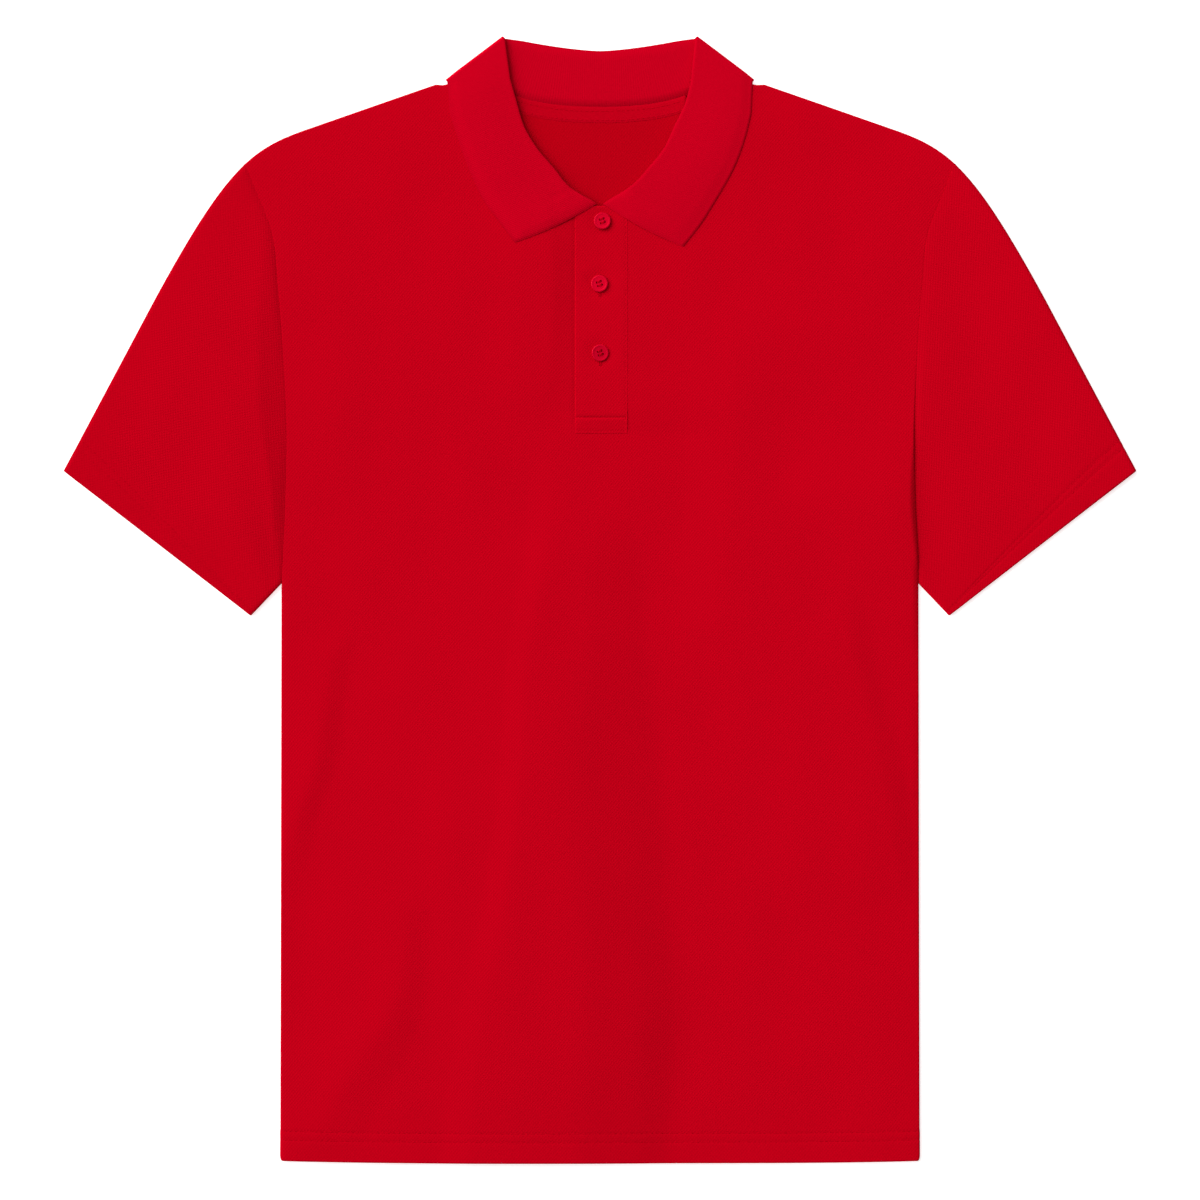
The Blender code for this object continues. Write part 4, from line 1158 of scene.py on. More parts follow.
def side_sections(side):
    peak = np.array([side * COLLAR_PEAK[0], COLLAR_PEAK[1]])
    corner = np.array([side * COLLAR_CORNER[0], COLLAR_CORNER[1]])
    crease = unit(corner - peak)
    normal = np.array([-crease[1], crease[0]]) * side
    heights = side_heights()
    radius = {key: (high - low) / 2 for key, (low, high) in heights.items()}
    axis_roll = peak + crease * ROLL_RADIUS - normal * (radius["fall"] * FOLD_SQUASH + RIB / 2)
    axis_edge = corner - normal * (radius["edge"] * FOLD_SQUASH + RIB / 2)
    axis_base = np.array([side * (NECK_HALF - SIDE_BASE_INSET[0]), NECK_POINT_Y - SIDE_BASE_INSET[1]])
    axes = {"base": axis_base, "stand": axis_roll, "fall": axis_roll, "edge": axis_edge}
    sections = []
    for angle in np.linspace(pi / 2, -pi / 2, SIDE_STATIONS):
        spot = {}
        for key, (low, high) in heights.items():
            flat = axes[key] + normal * radius[key] * FOLD_SQUASH * cos(angle)
            spot[key] = np.array([*flat, (low + high) / 2 + radius[key] * sin(angle)])
        forward = np.array([*-crease, 0.0])
        sections.append(section(spot["base"], spot["stand"], spot["fall"], spot["edge"], forward))
    return sections


def back_sections():
    heights = side_heights()
    sections = []
    for share in np.linspace(-BACK_SPAN, BACK_SPAN, BACK_STATIONS):
        near = abs(share)
        base_x, base_y = inside_neck(1 - near**BACK_BASE_POWER, BACK_NECK)
        base = np.array([np.sign(share) * base_x, base_y, heights["base"][0]])
        roll_x = BACK_ROLL_HALF * share
        roll_y = BACK_ROLL_Y + BACK_ROLL_RISE * near**BACK_ROLL_POWER - ROLL_RADIUS - RIB / 2
        stand = np.array([roll_x, roll_y, heights["stand"][0]])
        fall = np.array([roll_x, roll_y, heights["fall"][0]])
        edge_y = BACK_EDGE_Y + BACK_EDGE_RISE * near**BACK_EDGE_POWER
        edge = np.array([BACK_EDGE_HALF * share, edge_y, heights["edge"][0]])
        forward = np.array([0.0, 1.0, 0.0])
        sections.append(section(base, stand, fall, edge, forward))
    return sections


def add_collar(finish):
    left = leaf_sections(COLLAR_LEFT, -1)
    right = leaf_sections(COLLAR_RIGHT, 1)
    grid = np.array(left + side_sections(-1) + back_sections() + side_sections(1)[::-1] + right[::-1])
    middle = grid[:, STAND_STEPS + ROLL_STEPS]
    run = np.concatenate([[0.0], np.cumsum(np.linalg.norm(np.diff(middle, axis=0), axis=1))])
    steps = np.linalg.norm(np.diff(grid, axis=1), axis=2)
    up = np.concatenate([np.zeros((len(grid), 1)), np.cumsum(steps, axis=1)], axis=1)
    uv = stacked(np.broadcast_to(run[:, None], up.shape), up)
    down = np.zeros(grid.shape[:2])
    down[:, STAND_STEPS + ROLL_STEPS :] = np.linspace(0.0, 1.0, FALL_STEPS + 1)
    from_end = np.minimum(run, run[-1] - run)[:, None]
    edge = smoothstep((down - SELVAGE_START) / (1 - SELVAGE_START))
    thin = np.maximum((RIB - SELVAGE) * edge, (RIB - END_CLOTH) * fade(from_end / END_REACH))
    above = grid[:, -1:, 2] > 2 * RIB
    grid[..., 2] -= np.where(above, thin / 2, 0.0)
    # Painted shade along the outer edge of the fall and over the roll
    painted_shade = SELVAGE_PAINTED_SHADE * smoothstep((down - SELVAGE_PAINTED_SHADE_START) / (1 - SELVAGE_PAINTED_SHADE_START))
    turned = np.clip(ROLL_PAINTED_SHADE * np.sin(pi * np.arange(ROLL_STEPS + 1) / ROLL_STEPS), 0.0, 1.0)
    painted_shade[:, STAND_STEPS : STAND_STEPS + ROLL_STEPS + 1] = turned
    return add_wall("collar_rib", grid, RIB - thin, finish, COLLAR_BULGE, uv=uv, painted_shade=painted_shade)


# ---- placket, tape

TOP_COLUMNS = (PLACKET_LEFT, PLACKET_LEFT + 0.0004, PLACKET_LEFT + 0.001, 0.0160)
TOP_SEAM_COLUMNS = (0.0165, 0.0168, 0.0171, 0.0174, 0.0177, 0.0182, PLACKET_RIGHT)
TOP_HEM_ROWS = (PLACKET_BOTTOM, 0.1138, 0.1144, 0.1147, 0.1150, 0.1153, 0.1158, 0.1225)
TOP_BOX_ROWS = (0.1225, 0.1232, 0.1236, 0.1240, 0.1244, 0.1248, 0.1256)
TOP_STEPS = (0.0011, 0.0013)
TOP_ROWS_END = 0.27
TOP_ROW_COUNT = 112
TOP_BEND_START = 0.130
TOP_BEND_RUN = 0.10
TOP_BULGE = 0.0001
LEAST_CLOTH = 0.0001
NECK_REACH_RUN = 0.0008
UNDER_AIR = 0.00012
LAYER_AIR = 0.00004
UNDER_COUNTS = (16, 50)
UNDER_BULGE = 0.0003
TAPE_COUNTS = (61, 7)
TAPE_BULGE = 0.0002


def neck_edge(x):
    return neck_y(x, **FRONT_NECK) - GAP


def add_placket_top(finish):
    columns = np.concatenate([fill_in(TOP_COLUMNS, TOP_STEPS[0]), TOP_SEAM_COLUMNS])
    above = np.linspace(TOP_BOX_ROWS[-1], TOP_ROWS_END, TOP_ROW_COUNT)[1:]
    rows = np.concatenate([fill_in(TOP_HEM_ROWS, TOP_STEPS[1])[:-1], TOP_BOX_ROWS, above])
    x = columns[None, :] * np.ones((len(rows), 1))
    share = ((rows - PLACKET_BOTTOM) / (rows[-1] - PLACKET_BOTTOM))[:, None]
    level = rows[:, None] * np.ones_like(x)
    curved = between(PLACKET_BOTTOM, neck_edge(x) + NECK_REACH, share)
    y = between(level, curved, smoothstep((level - TOP_BEND_START) / TOP_BEND_RUN))
    top = placket_face(x, y)
    below = np.where(in_slot(x, y), front_base(x, y) - UNDER_DROP + UNDER_AIR, front_top(x, y) + LAYER_AIR)
    bottom = np.maximum(below, top - PLACKET_CLOTH)
    bottom = between(bottom, top - NECK_REACH_CLOTH, smoothstep((y - neck_edge(x)) / NECK_REACH_RUN))
    cloth = np.maximum(top - bottom, LEAST_CLOTH)
    return add_wall("placket_top_cloth", stacked(x, y, top - cloth / 2), cloth, finish, TOP_BULGE)


def add_placket_under(finish):
    columns, rows = UNDER_COUNTS
    inset = SLOT_INSET + 2 * GAP
    x = np.linspace(PLACKET_LEFT + inset, PLACKET_RIGHT - inset, columns)[None, :] * np.ones((rows, 1))
    y = between(PLACKET_BOTTOM + inset, neck_edge(x), np.linspace(0.0, 1.0, rows)[:, None])
    grid = stacked(x, y, front_base(x, y) - UNDER_DROP - KNIT / 2)
    return add_wall("placket_under_cloth", grid, KNIT, finish, UNDER_BULGE)


def add_neck_tape(finish):
    columns, rows = TAPE_COUNTS
    x = np.linspace(-TAPE_HALF, TAPE_HALF, columns)[None, :] * np.ones((rows, 1))
    y = neck_y(x, **BACK_NECK) - np.linspace(*TAPE_EDGES, rows)[:, None]
    z = back_lift(x, y) + KNIT + TAPE_GAP + TAPE / 2
    return add_wall("neck_tape_cloth", stacked(x, y, z), TAPE, finish, TAPE_BULGE)


# ---- buttons

BUTTON_STEPS = 48
HOLE_STEPS = 14
HOLE_BEVEL = 0.00012
FOOT_STEPS = 24
FOOT_SHARE = 0.84
STRAND_LIFT = 0.6
STRAND_SPACE = 1.7
STRAND_REACH = 0.0003
STRAND_DIVE = 0.0005
SLOPE_STEP = 0.0004
BUTTONHOLE_BELOW = 0.0082
BUTTONHOLE_ABOVE = 0.0042
BUTTONHOLE_HALF = 0.00125
BUTTONHOLE_SLIT = 0.0003
BUTTONHOLE_PITCH = 0.00034
BUTTONHOLE_THREAD = 0.00017
BUTTONHOLE_DIVE = 0.00006


def button_mesh(name, finish):
    """A moulded four-hole button with a raised rim and a dished middle."""
    shape = bmesh.new()

    def loop(centre_x, centre_y, radius, height, steps):
        turns = [2 * pi * k / steps for k in range(steps)]
        places = [(centre_x + radius * cos(t), centre_y + radius * sin(t), height) for t in turns]
        return [shape.verts.new(spot) for spot in places]

    def band(low, high):
        for k in range(len(low)):
            after = (k + 1) % len(low)
            shape.faces.new((low[k], high[k], high[after], low[after]))

    rings = []
    for across, up in BUTTON_PROFILE:
        rings.append(loop(0.0, 0.0, across * BUTTON_RADIUS, up * BUTTON_THICK, BUTTON_STEPS))
    for low, high in zip(rings[:-1], rings[1:]):
        band(low, high)
    dish = BUTTON_PROFILE[0][1] * BUTTON_THICK
    hole_rows = ((THREAD_HOLE_RADIUS + HOLE_BEVEL, dish), (THREAD_HOLE_RADIUS, dish - HOLE_BEVEL))
    hole_rows += ((THREAD_HOLE_RADIUS, 0.0),)
    holes = []
    for across in (-1, 1):
        for up in (-1, 1):
            spot = across * THREAD_HOLE_STEP, up * THREAD_HOLE_STEP
            hole = [loop(*spot, radius, height, HOLE_STEPS) for radius, height in hole_rows]
            band(hole[0], hole[1])
            band(hole[1], hole[2])
            holes.append(hole)
    for outline, layer in ((rings[0], 0), (rings[-1], 2)):
        edges = []
        for chain in [outline] + [hole[layer] for hole in holes]:
            for k in range(len(chain)):
                pair = chain[k], chain[(k + 1) % len(chain)]
                edges.append(shape.edges.get(pair) or shape.edges.new(pair))
        bmesh.ops.triangle_fill(shape, use_beauty=True, edges=edges)
    bmesh.ops.recalc_face_normals(shape, faces=shape.faces)
    mesh = bpy.data.meshes.new(name)
    shape.to_mesh(mesh)
    shape.free()
    finish_mesh(mesh, finish, BUTTON_SHARP)
    return mesh


def add_button(number, spot, leans, finish, thread):
    mesh = button_mesh(f"button_{number}_moulded", finish)
    button = add_object(mesh.name, mesh)
    x, y = spot
    around = np.linspace(0.0, 2 * pi, FOOT_STEPS)
    foot = BUTTON_RADIUS * FOOT_SHARE
    under = placket_face(x + foot * np.cos(around), y + foot * np.sin(around))
    lean = float(np.hypot(*leans))
    button.location = (x, y, float(under.max()) + BUTTON_GAP + foot * sin(lean))
    button.rotation_euler = (*leans, BUTTON_TURN)
    above = BUTTON_PROFILE[0][1] * BUTTON_THICK + THREAD_RADIUS * STRAND_LIFT
    reach = THREAD_HOLE_STEP + STRAND_REACH
    ends = []
    for up in (-1, 1):
        for strand in (-1, 0, 1):
            line_y = up * THREAD_HOLE_STEP + strand * THREAD_RADIUS * STRAND_SPACE
            ends.append(((-reach, line_y, above), (reach, line_y, above)))
    lows, highs = np.array(ends).transpose(1, 0, 2)
    outward = np.broadcast_to([0.0, 0.0, 1.0], lows.shape)
    name = f"button_{number}_thread"
    strands = add_capsules(name, lows, highs, outward, THREAD_RADIUS, STRAND_DIVE, thread)
    strands.location = button.location
    strands.rotation_euler = button.rotation_euler
    place(strands, "button")
    return place(button, "button", f"button_{number}")


def placket_normals(x, y):
    """Directions out of the top placket's face."""
    near = SLOPE_STEP
    slope_x = (placket_face(x + near, y) - placket_face(x - near, y)) / (2 * near)
    slope_y = (placket_face(x, y + near) - placket_face(x, y - near)) / (2 * near)
    return unit(stacked(-slope_x, -slope_y, np.ones_like(x)))


def add_buttonholes(finish):
    """Worked buttonholes that run up the placket: short stitches across both sides and ends of a slit."""
    starts, ends = [], []
    for spot_x, spot_y, *_ in BUTTONS[1:]:
        low, high = spot_y - BUTTONHOLE_BELOW, spot_y + BUTTONHOLE_ABOVE
        for y in np.arange(low, high, BUTTONHOLE_PITCH):
            for side in (-1, 1):
                starts.append((spot_x + side * BUTTONHOLE_SLIT, y))
                ends.append((spot_x + side * BUTTONHOLE_HALF, y))
        for y in (low, high):
            for k in (-1, 0, 1):
                starts.append((spot_x - BUTTONHOLE_HALF, y + k * BUTTONHOLE_PITCH))
                ends.append((spot_x + BUTTONHOLE_HALF, y + k * BUTTONHOLE_PITCH))
    starts, ends = np.array(starts), np.array(ends)
    lifted = [np.column_stack([spots, placket_face(*spots.T) + LAYER_AIR]) for spots in (starts, ends)]
    outward = placket_normals(*((starts + ends) / 2).T)
    piece = add_capsules("buttonholes", *lifted, outward, BUTTONHOLE_THREAD, BUTTONHOLE_DIVE, finish)
    return place(piece, "pique_knit")


# ---- stitches

STITCH = 0.0028
STITCH_SPACE = 0.0007
STITCH_RADIUS = 0.00017
CAPSULE = (
    # share along the stitch, share of its radius, how far its ends dive
    (-0.94, 0.55, 0.75),
    (-0.62, 0.95, 0.22),
    (0.0, 1.0, 0.0),
    (0.62, 0.95, 0.22),
    (0.94, 0.55, 0.75),
)
CAPSULE_SIDES = 6
STITCH_DIVE = 0.0001
HEM_LINE = {"inset": 0.002, "seat": 0.00005, "points": 400}
BOX_POINTS = (40, 20)
SEAM_LINE = {"inset": 0.004, "points": 200}
TAPE_LINE = {"inset": 0.003, "rows": (0.0016, 0.0078), "points": 80}


def add_capsules(name, starts, ends, outward, radius, dive, finish):
    """Short lengths of thread as one mesh. Each arches out of the cloth, and dives into it at its ends."""
    run = ends - starts
    length = np.linalg.norm(run, axis=1, keepdims=True)
    ahead = run / length
    across = unit(np.cross(ahead, outward))
    up = np.cross(across, ahead)
    middle = (starts + ends) / 2
    rings, weave = [], []
    for share, width, low in CAPSULE:
        centre = middle + run / 2 * share - up * dive * low
        for k in range(CAPSULE_SIDES):
            angle = 2 * pi * k / CAPSULE_SIDES
            rings.append(centre + (across * cos(angle) + up * sin(angle)) * radius * width)
            weave.append(np.column_stack([length[:, 0] * share / 2, np.full(len(length), angle * radius)]))
    for share in (-1, 1):
        rings.append(middle + run / 2 * share - up * dive)
        weave.append(np.column_stack([length[:, 0] * share / 2, np.zeros(len(length))]))
    each = len(rings)
    points = np.stack(rings, axis=1).reshape(-1, 3)
    uv = np.stack(weave, axis=1).reshape(-1, 2)
    sides, count = CAPSULE_SIDES, len(CAPSULE)
    faces = []
    for ring in range(count - 1):
        for k in range(sides):
            after = (k + 1) % sides
            low, high = ring * sides, (ring + 1) * sides
            faces.append((low + k, low + after, high + after))
            faces.append((low + k, high + after, high + k))
    first, last = count * sides, count * sides + 1
    for k in range(sides):
        after = (k + 1) % sides
        faces.append((first, after, k))
        faces.append((last, (count - 1) * sides + k, (count - 1) * sides + after))
    faces = np.array(faces)
    faces = (faces[None, :, :] + (np.arange(len(starts)) * each)[:, None, None]).reshape(-1, 3)
    return mesh_object(name, points, faces, finish, uv, THREAD_SHARP)


def stitches_along(path, outward):
    """Starts, ends and directions of the stitches along a line on the cloth."""
    share = arc_shares(path)
    total = np.linalg.norm(np.diff(path, axis=0), axis=1).sum()
    count = max(1, int(round(total / (STITCH + STITCH_SPACE))))
    low = np.arange(count) / count
    high = low + STITCH / (STITCH + STITCH_SPACE) / count

    def at(values, places):
        return stacked(*(np.interp(places, share, column) for column in values.T))

    return at(path, low), at(path, high), at(outward, (low + high) / 2)


def add_stitches(name, lines, finish, slot="pique_knit"):
    parts = [stitches_along(path, outward) for path, outward in lines]
    starts, ends, outward = (np.concatenate(part) for part in zip(*parts))
    piece = add_capsules(name, starts, ends, outward, STITCH_RADIUS, STITCH_DIVE, finish)
    return place(piece, slot)


def flat_line(x, y, z, up=1.0):
    path = stacked(x, y, z)
    return path, np.broadcast_to([0.0, 0.0, up], path.shape)


def add_hem_sewing(thread):
    end = HEM_HALF - HEM_LINE["inset"]
    x = np.linspace(-end, end, HEM_LINE["points"])
    front_lines, back_lines = [], []
    for row in HEM_STITCHES:
        y = hem_y(x) + row
        front_lines.append(flat_line(x, y, front_top(x, y) - STITCH_GROOVE + HEM_LINE["seat"]))
        back_lines.append(flat_line(x, y, np.full_like(x, STITCH_RADIUS), -1.0))
    add_stitches("hem_stitches_front", front_lines, thread)
    add_stitches("hem_stitches_back", back_lines, thread)
    for name, side in (("left", -1), ("right", 1)):
        lines = [sleeve_stitch_path(row, side) for row in SLEEVE_STITCHES]
        add_stitches(f"sleeve_{name}_stitches", lines, thread)


def add_placket_sewing(thread):
    """Two rows across the placket, its box's open side, and the seam that runs up to the neck."""
    high, low = (line_y for line_y, _ in BOX_GROOVES)
    box_x = np.linspace(PLACKET_FOLD_SEAM, PLACKET_SEAM, BOX_POINTS[0])
    side_y = np.linspace(low, high, BOX_POINTS[1])
    neck = float(neck_edge(np.array(PLACKET_SEAM)))
    seam_y = np.linspace(low, neck - SEAM_LINE["inset"], SEAM_LINE["points"])
    lines = [(box_x, np.full_like(box_x, line_y)) for line_y in (high, low)]
    lines.append((np.full_like(side_y, PLACKET_FOLD_SEAM), side_y))
    lines.append((np.full_like(seam_y, PLACKET_SEAM), seam_y))
    made = [(stacked(x, y, placket_face(x, y) - LAYER_AIR), placket_normals(x, y)) for x, y in lines]
    add_stitches("placket_stitches", made, thread)


def add_tape_sewing(thread):
    end = TAPE_HALF - TAPE_LINE["inset"]
    x = np.linspace(-end, end, TAPE_LINE["points"])
    lines = []
    for inset in TAPE_LINE["rows"]:
        y = neck_y(x, **BACK_NECK) - inset
        lines.append(flat_line(x, y, back_lift(x, y) + KNIT + TAPE_GAP + TAPE + LAYER_AIR))
    add_stitches("neck_tape_stitches", lines, thread, "neck_tape")


# ---- materials

BODY_RED = (0.548, 0.0, 0.0092)
# The back's inner face: the knit's reverse side, a little darker, with painted shade for the inside of the
# neck opening
REVERSE_SHADED_RED = (0.488, 0.0, 0.0070)
RIB_RED = (0.570, 0.0, 0.0122)
TAPE_RED = (0.560, 0.0, 0.0100)
THREAD_RED = (0.555, 0.0, 0.0095)
BUTTON_RED = (0.60, 0.0005, 0.018)
PIQUE_CELL = (0.0022, 0.0026)
WALE_SHARE = 0.2
PIQUE_DEPTH = 0.000045
REVERSE_DEPTH = 0.00003
RIB_PITCH = 0.0013
RIB_ROW = 0.0009
RIB_ROW_SHARE = 0.3
RIB_BAND = 0.0062
RIB_BAND_SHARE = 0.1
RIB_DEPTH = 0.00003
TWILL_PITCH = 0.0011
TWILL_DEPTH = 0.00005
TWIST_PITCH = 0.00055
TWIST_LEAN = 0.8
TWIST_DEPTH = 0.00003
# How far the painted shade at turned edges and rolls darkens the cloth
EDGE_PAINTED_SHADE = 0.62
SHEEN_TINT = (1.0, 0.25, 0.25, 1.0)
LOOKS = {
    # roughness, sheen; then the pattern's range and its dark and light tones, which paint shade into the
    # pattern's hollows; then the scale, detail and spread of uneven dyeing, and the scale, detail, height
    # and spread of loose fibres
    "pique": {
        "surface": (0.92, 0.03),
        "tones": (-1.0, 0.6, 0.93, 1.025),
        "dye": (22.0, 3.0, 0.025),
        "fibre": (2600.0, 3.0, 0.55, 0.03),
    },
    "rib": {
        "surface": (0.92, 0.03),
        "tones": (-1.1, 0.6, 0.94, 1.02),
        "dye": (30.0, 2.0, 0.015),
        "fibre": (2600.0, 3.0, 0.5, 0.04),
    },
    "twill": {
        "surface": (0.9, 0.02),
        "tones": (-1.0, 0.6, 0.88, 1.03),
        "fibre": (3000.0, 2.0, 0.4, 0.04),
    },
    "thread": {"surface": (0.85, 0.0), "tones": (-1.0, 0.4, 0.80, 1.05)},
}
PLASTIC = {"Roughness": 0.3, "Specular IOR Level": 0.4, "Specular Tint": (1.0, 0.02, 0.06, 1.0)}
SWIRL = {"Scale": 260.0, "Detail": 3.0, "Distortion": 1.2}
SWIRL_TONES = (0.93, 1.06)
SWIRL_RELIEF = {"Strength": 0.4, "Distance": 0.00002}
# Sockets of a Mix node that mixes colours
MIX_LOW, MIX_HIGH, MIX_RESULT = 6, 7, 2


def feed(tree, node, inputs):
    """Sets a node's inputs to values, or links them to other nodes' outputs."""
    for key, value in inputs.items():
        if isinstance(value, bpy.types.NodeSocket):
            tree.links.new(value, node.inputs[key])
        else:
            node.inputs[key].default_value = value


def add_node(tree, kind, inputs, **settings):
    node = tree.nodes.new("ShaderNode" + kind)
    for key, value in settings.items():
        setattr(node, key, value)
    feed(tree, node, inputs)
    return node


class Finish:
    """A material, its shader, and short ways to add nodes to it."""

    def __init__(self, name, surface):
        self.made = bpy.data.materials.new(name)
        self.made.use_nodes = True
        self.shader = self.made.node_tree.nodes["Principled BSDF"]
        feed(self.made.node_tree, self.shader, surface)

    def node(self, kind, inputs, **settings):
        return add_node(self.made.node_tree, kind, inputs, **settings)

    def mix(self, share, colour, tones):
        """A mix of two tones of a colour."""
        low, high = ((*(part * tone for part in colour), 1.0) for tone in tones)
        inputs = {0: share, MIX_LOW: low, MIX_HIGH: high}
        return self.node("Mix", inputs, data_type="RGBA").outputs[MIX_RESULT]

    def finish(self, colour, height, relief):
        bump = self.node("Bump", {"Height": height, **relief})
        feed(self.made.node_tree, self.shader, {"Base Color": colour, "Normal": bump.outputs[0]})
        return self.made


class Weave(Finish):
    """A cloth material whose bump and colour follow a pattern in the weave's coordinates."""

    def __init__(self, name, look):
        self.look = LOOKS[look]
        roughness, sheen = self.look["surface"]
        surface = {"Roughness": roughness, "Specular IOR Level": 0.0}
        super().__init__(name, {**surface, "Sheen Weight": sheen, "Sheen Tint": SHEEN_TINT})
        self.uv = self.node("UVMap", {}, uv_map="cloth").outputs["UV"]
        parts = self.node("SeparateXYZ", {0: self.uv})
        self.u, self.v = parts.outputs["X"], parts.outputs["Y"]

    def math(self, operation, *values):
        return self.node("Math", dict(enumerate(values)), operation=operation).outputs[0]

    def wave(self, value, pitch):
        """A cosine of a length, once in each pitch."""
        return self.math("COSINE", self.math("MULTIPLY", value, 2 * pi / pitch))

    def noise(self, scale, detail):
        noise = self.node("TexNoise", {"Vector": self.uv, "Scale": scale, "Detail": detail})
        return noise.outputs["Fac"]

    def tone(self, colour, value, low, high):
        """A colour made a little darker or lighter by a value between 0 and 1."""
        factor = self.math("MULTIPLY_ADD", value, high - low, low)
        return self.node("VectorMath", {0: colour, "Scale": factor}, operation="SCALE").outputs[0]

    def weave(self, colour, pattern, depth, height=None):
        """The finish of a cloth with this pattern: its tones, which paint shade into the pattern's hollows,
        dye, fibres, painted shade at turned edges and rolls, and relief.
        """
        low, high, *tones = self.look["tones"]
        # The pattern's low parts darker: painted shade in its hollows
        share = self.node("MapRange", {"Value": pattern, "From Min": low, "From Max": high})
        base = self.mix(share.outputs["Result"], colour, tones)
        height = pattern if height is None else height
        if "dye" in self.look:
            scale, detail, spread = self.look["dye"]
            base = self.tone(base, self.noise(scale, detail), 1 - spread, 1 + spread)
        if "fibre" in self.look:
            scale, detail, lift, spread = self.look["fibre"]
            fibre = self.noise(scale, detail)
            height = self.math("MULTIPLY_ADD", fibre, lift, height)
            base = self.tone(base, fibre, 1 - spread, 1 + spread)
        # Painted shade at turned edges and rolls, read from each point's share
        edge = self.node("Attribute", {}, attribute_name="edge_painted_shade")
        base = self.tone(base, edge.outputs["Fac"], 1.0, EDGE_PAINTED_SHADE)
        return self.finish(base, height, {"Strength": 1.0, "Distance": depth})


def pique(name, colour, depth):
    """Pique knit: offset rows of small raised cells with pits between them, and short loose fibres."""
    made = Weave(name, "pique")
    cells = made.math("MULTIPLY", made.wave(made.u, PIQUE_CELL[0]), made.wave(made.v, PIQUE_CELL[1]))
    wales = made.wave(made.u, PIQUE_CELL[0] / 2)
    return made.weave(colour, made.math("MULTIPLY_ADD", wales, WALE_SHARE, cells), depth)


def rib(name, colour):
    """Flat rib knit: fine ribs across the band, rows of stitches along it, and a swell every few rows."""
    made = Weave(name, "rib")
    ribs, rows = made.wave(made.u, RIB_PITCH), made.wave(made.v, RIB_ROW)
    pattern = made.math("MULTIPLY_ADD", rows, RIB_ROW_SHARE, ribs)
    height = made.math("MULTIPLY_ADD", made.wave(made.v, RIB_BAND), RIB_BAND_SHARE, pattern)
    return made.weave(colour, pattern, RIB_DEPTH, height)


def twill(name, colour):
    """Woven tape: fine diagonal lines."""
    made = Weave(name, "twill")
    return made.weave(colour, made.wave(made.math("ADD", made.u, made.v), TWILL_PITCH), TWILL_DEPTH)


def sewing_thread(name, colour):
    """Twisted sewing thread."""
    made = Weave(name, "thread")
    twist = made.wave(made.math("MULTIPLY_ADD", made.v, TWIST_LEAN, made.u), TWIST_PITCH)
    return made.weave(colour, twist, TWIST_DEPTH)


def plastic(name, colour):
    """Polished moulded plastic with a faint swirl."""
    made = Finish(name, PLASTIC)
    coordinates = made.node("TexCoord", {})
    swirl = made.node("TexNoise", {"Vector": coordinates.outputs["Object"], **SWIRL}).outputs["Fac"]
    return made.finish(made.mix(swirl, colour, SWIRL_TONES), swirl, SWIRL_RELIEF)


# ---- scene

FLOOR_SIZE = 6.0
FLOOR_PLACE = -0.0005
FLOOR_LOOK = {
    "Base Color": (0.80, 0.80, 0.80, 1.0),
    "Roughness": 0.9,
    "Specular IOR Level": 0.0,
    "Emission Color": (1.0, 1.0, 1.0, 1.0),
    "Emission Strength": 0.65,
}
FRAME_WIDTH = 0.816
CAMERA_HEIGHT = 3.0
SENSOR = 36.0
KEY_AZIMUTH = radians(148)
KEY_ELEVATION = radians(30)
KEY_SHARE = 0.58
KEY_ANGLE = radians(62)
SKY_TILT = 1.0
LIGHT = 0.936
UPPER_ENERGY = 1.5
UPPER_SIZE = 1.0
UPPER_PLACE = Vector((0.22, 0.80, 0.85))
UPPER_TARGET = Vector((0.05, 0.38, 0.0))


def add_floor():
    shape = bmesh.new()
    bmesh.ops.create_grid(shape, x_segments=1, y_segments=1, size=FLOOR_SIZE)
    mesh = bpy.data.meshes.new("floor")
    shape.to_mesh(mesh)
    shape.free()
    mesh.materials.append(Finish("pale_floor", FLOOR_LOOK).made)
    floor = add_object("floor", mesh)
    floor.location.z = FLOOR_PLACE
    return floor


def add_camera():
    data = bpy.data.cameras.new("camera")
    data.sensor_width = SENSOR
    data.lens = SENSOR * CAMERA_HEIGHT / FRAME_WIDTH
    camera = add_object("camera", data)
    camera.location = (0.0, 0.0, CAMERA_HEIGHT)
    bpy.context.scene.camera = camera


def add_lamp(name, kind, toward, **settings):
    """A lamp that shines from the direction of a vector."""
    data = bpy.data.lights.new(name, kind)
    for key, value in settings.items():
        setattr(data, key, value)
    lamp = add_object(name, data)
    lamp.rotation_mode = "QUATERNION"
    lamp.rotation_quaternion = toward.to_track_quat("Z", "Y")
    return lamp


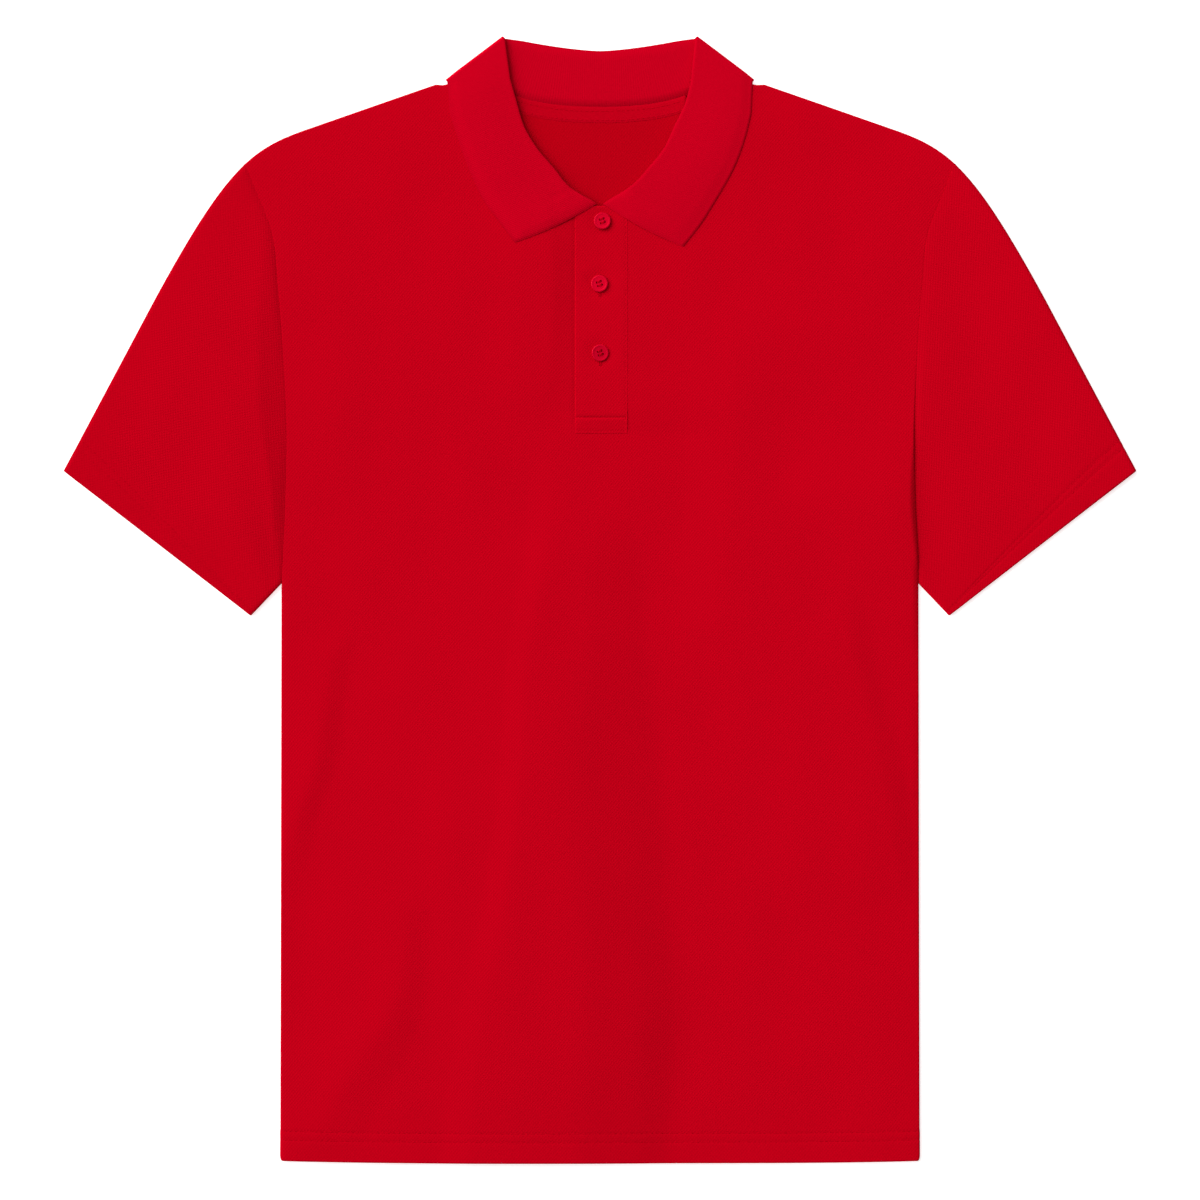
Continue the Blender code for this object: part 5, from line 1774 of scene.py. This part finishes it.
def add_light():
    """A broad key light, a sky that is brighter on the key's side, and a lamp above the shoulders."""
    world = bpy.data.worlds.new("studio")
    world.use_nodes = True
    tree = world.node_tree
    across = (cos(KEY_AZIMUTH), sin(KEY_AZIMUTH), 0.0)
    sky = add_node(tree, "TexCoord", {}).outputs["Generated"]
    side = add_node(tree, "VectorMath", {0: sky, 1: across}, operation="DOT_PRODUCT").outputs["Value"]
    fill = LIGHT * (1 - KEY_SHARE)
    tilt = add_node(tree, "Math", {0: side, 1: fill * SKY_TILT, 2: fill}, operation="MULTIPLY_ADD")
    sky_look = {"Color": (1.0, 1.0, 1.0, 1.0), "Strength": tilt.outputs["Value"]}
    feed(tree, tree.nodes["Background"], sky_look)
    bpy.context.scene.world = world
    toward_key = Vector((across[0] * cos(KEY_ELEVATION), across[1] * cos(KEY_ELEVATION), sin(KEY_ELEVATION)))
    key_energy = pi * LIGHT * KEY_SHARE / sin(KEY_ELEVATION)
    add_lamp("key", "SUN", toward_key, energy=key_energy, angle=KEY_ANGLE)
    toward_upper = UPPER_PLACE - UPPER_TARGET
    upper = add_lamp("upper", "AREA", toward_upper, energy=UPPER_ENERGY, size=UPPER_SIZE)
    upper.location = UPPER_PLACE
    bpy.context.scene.view_settings.view_transform = "Standard"


def main():
    knit = pique("pique_knit", BODY_RED, PIQUE_DEPTH)
    reverse_shaded = pique("pique_knit_reverse_shaded", REVERSE_SHADED_RED, REVERSE_DEPTH)
    ribbed = rib("rib_knit", RIB_RED)
    tape_finish = twill("neck_tape", TAPE_RED)
    thread = sewing_thread("sewing_thread", THREAD_RED)
    moulded = plastic("button_plastic", BUTTON_RED)
    back = place(add_back(knit, reverse_shaded), "pique_knit", "back")
    front = place(add_front(knit), "pique_knit", "front")
    for name, side in (("sleeve_left", -1), ("sleeve_right", 1)):
        seam = place(add_armhole_seam(name + "_seam", side, knit), "pique_knit")
        sleeve = place(add_sleeve(name + "_cloth", side, knit), "pique_knit", name)
    collar = place(add_collar(ribbed), "rib_knit", "collar")
    top_piece = place(add_placket_top(knit), "pique_knit", "placket_top")
    under_piece = place(add_placket_under(knit), "pique_knit", "placket_under")
    tape = place(add_neck_tape(tape_finish), "neck_tape", "neck_tape")
    for number, (x, y, *leans) in enumerate(BUTTONS, 1):
        add_button(number, (x, y), leans, moulded, thread)
    add_buttonholes(thread)
    add_hem_sewing(thread)
    add_placket_sewing(thread)
    add_tape_sewing(thread)
    add_floor()
    add_camera()
    add_light()


main()
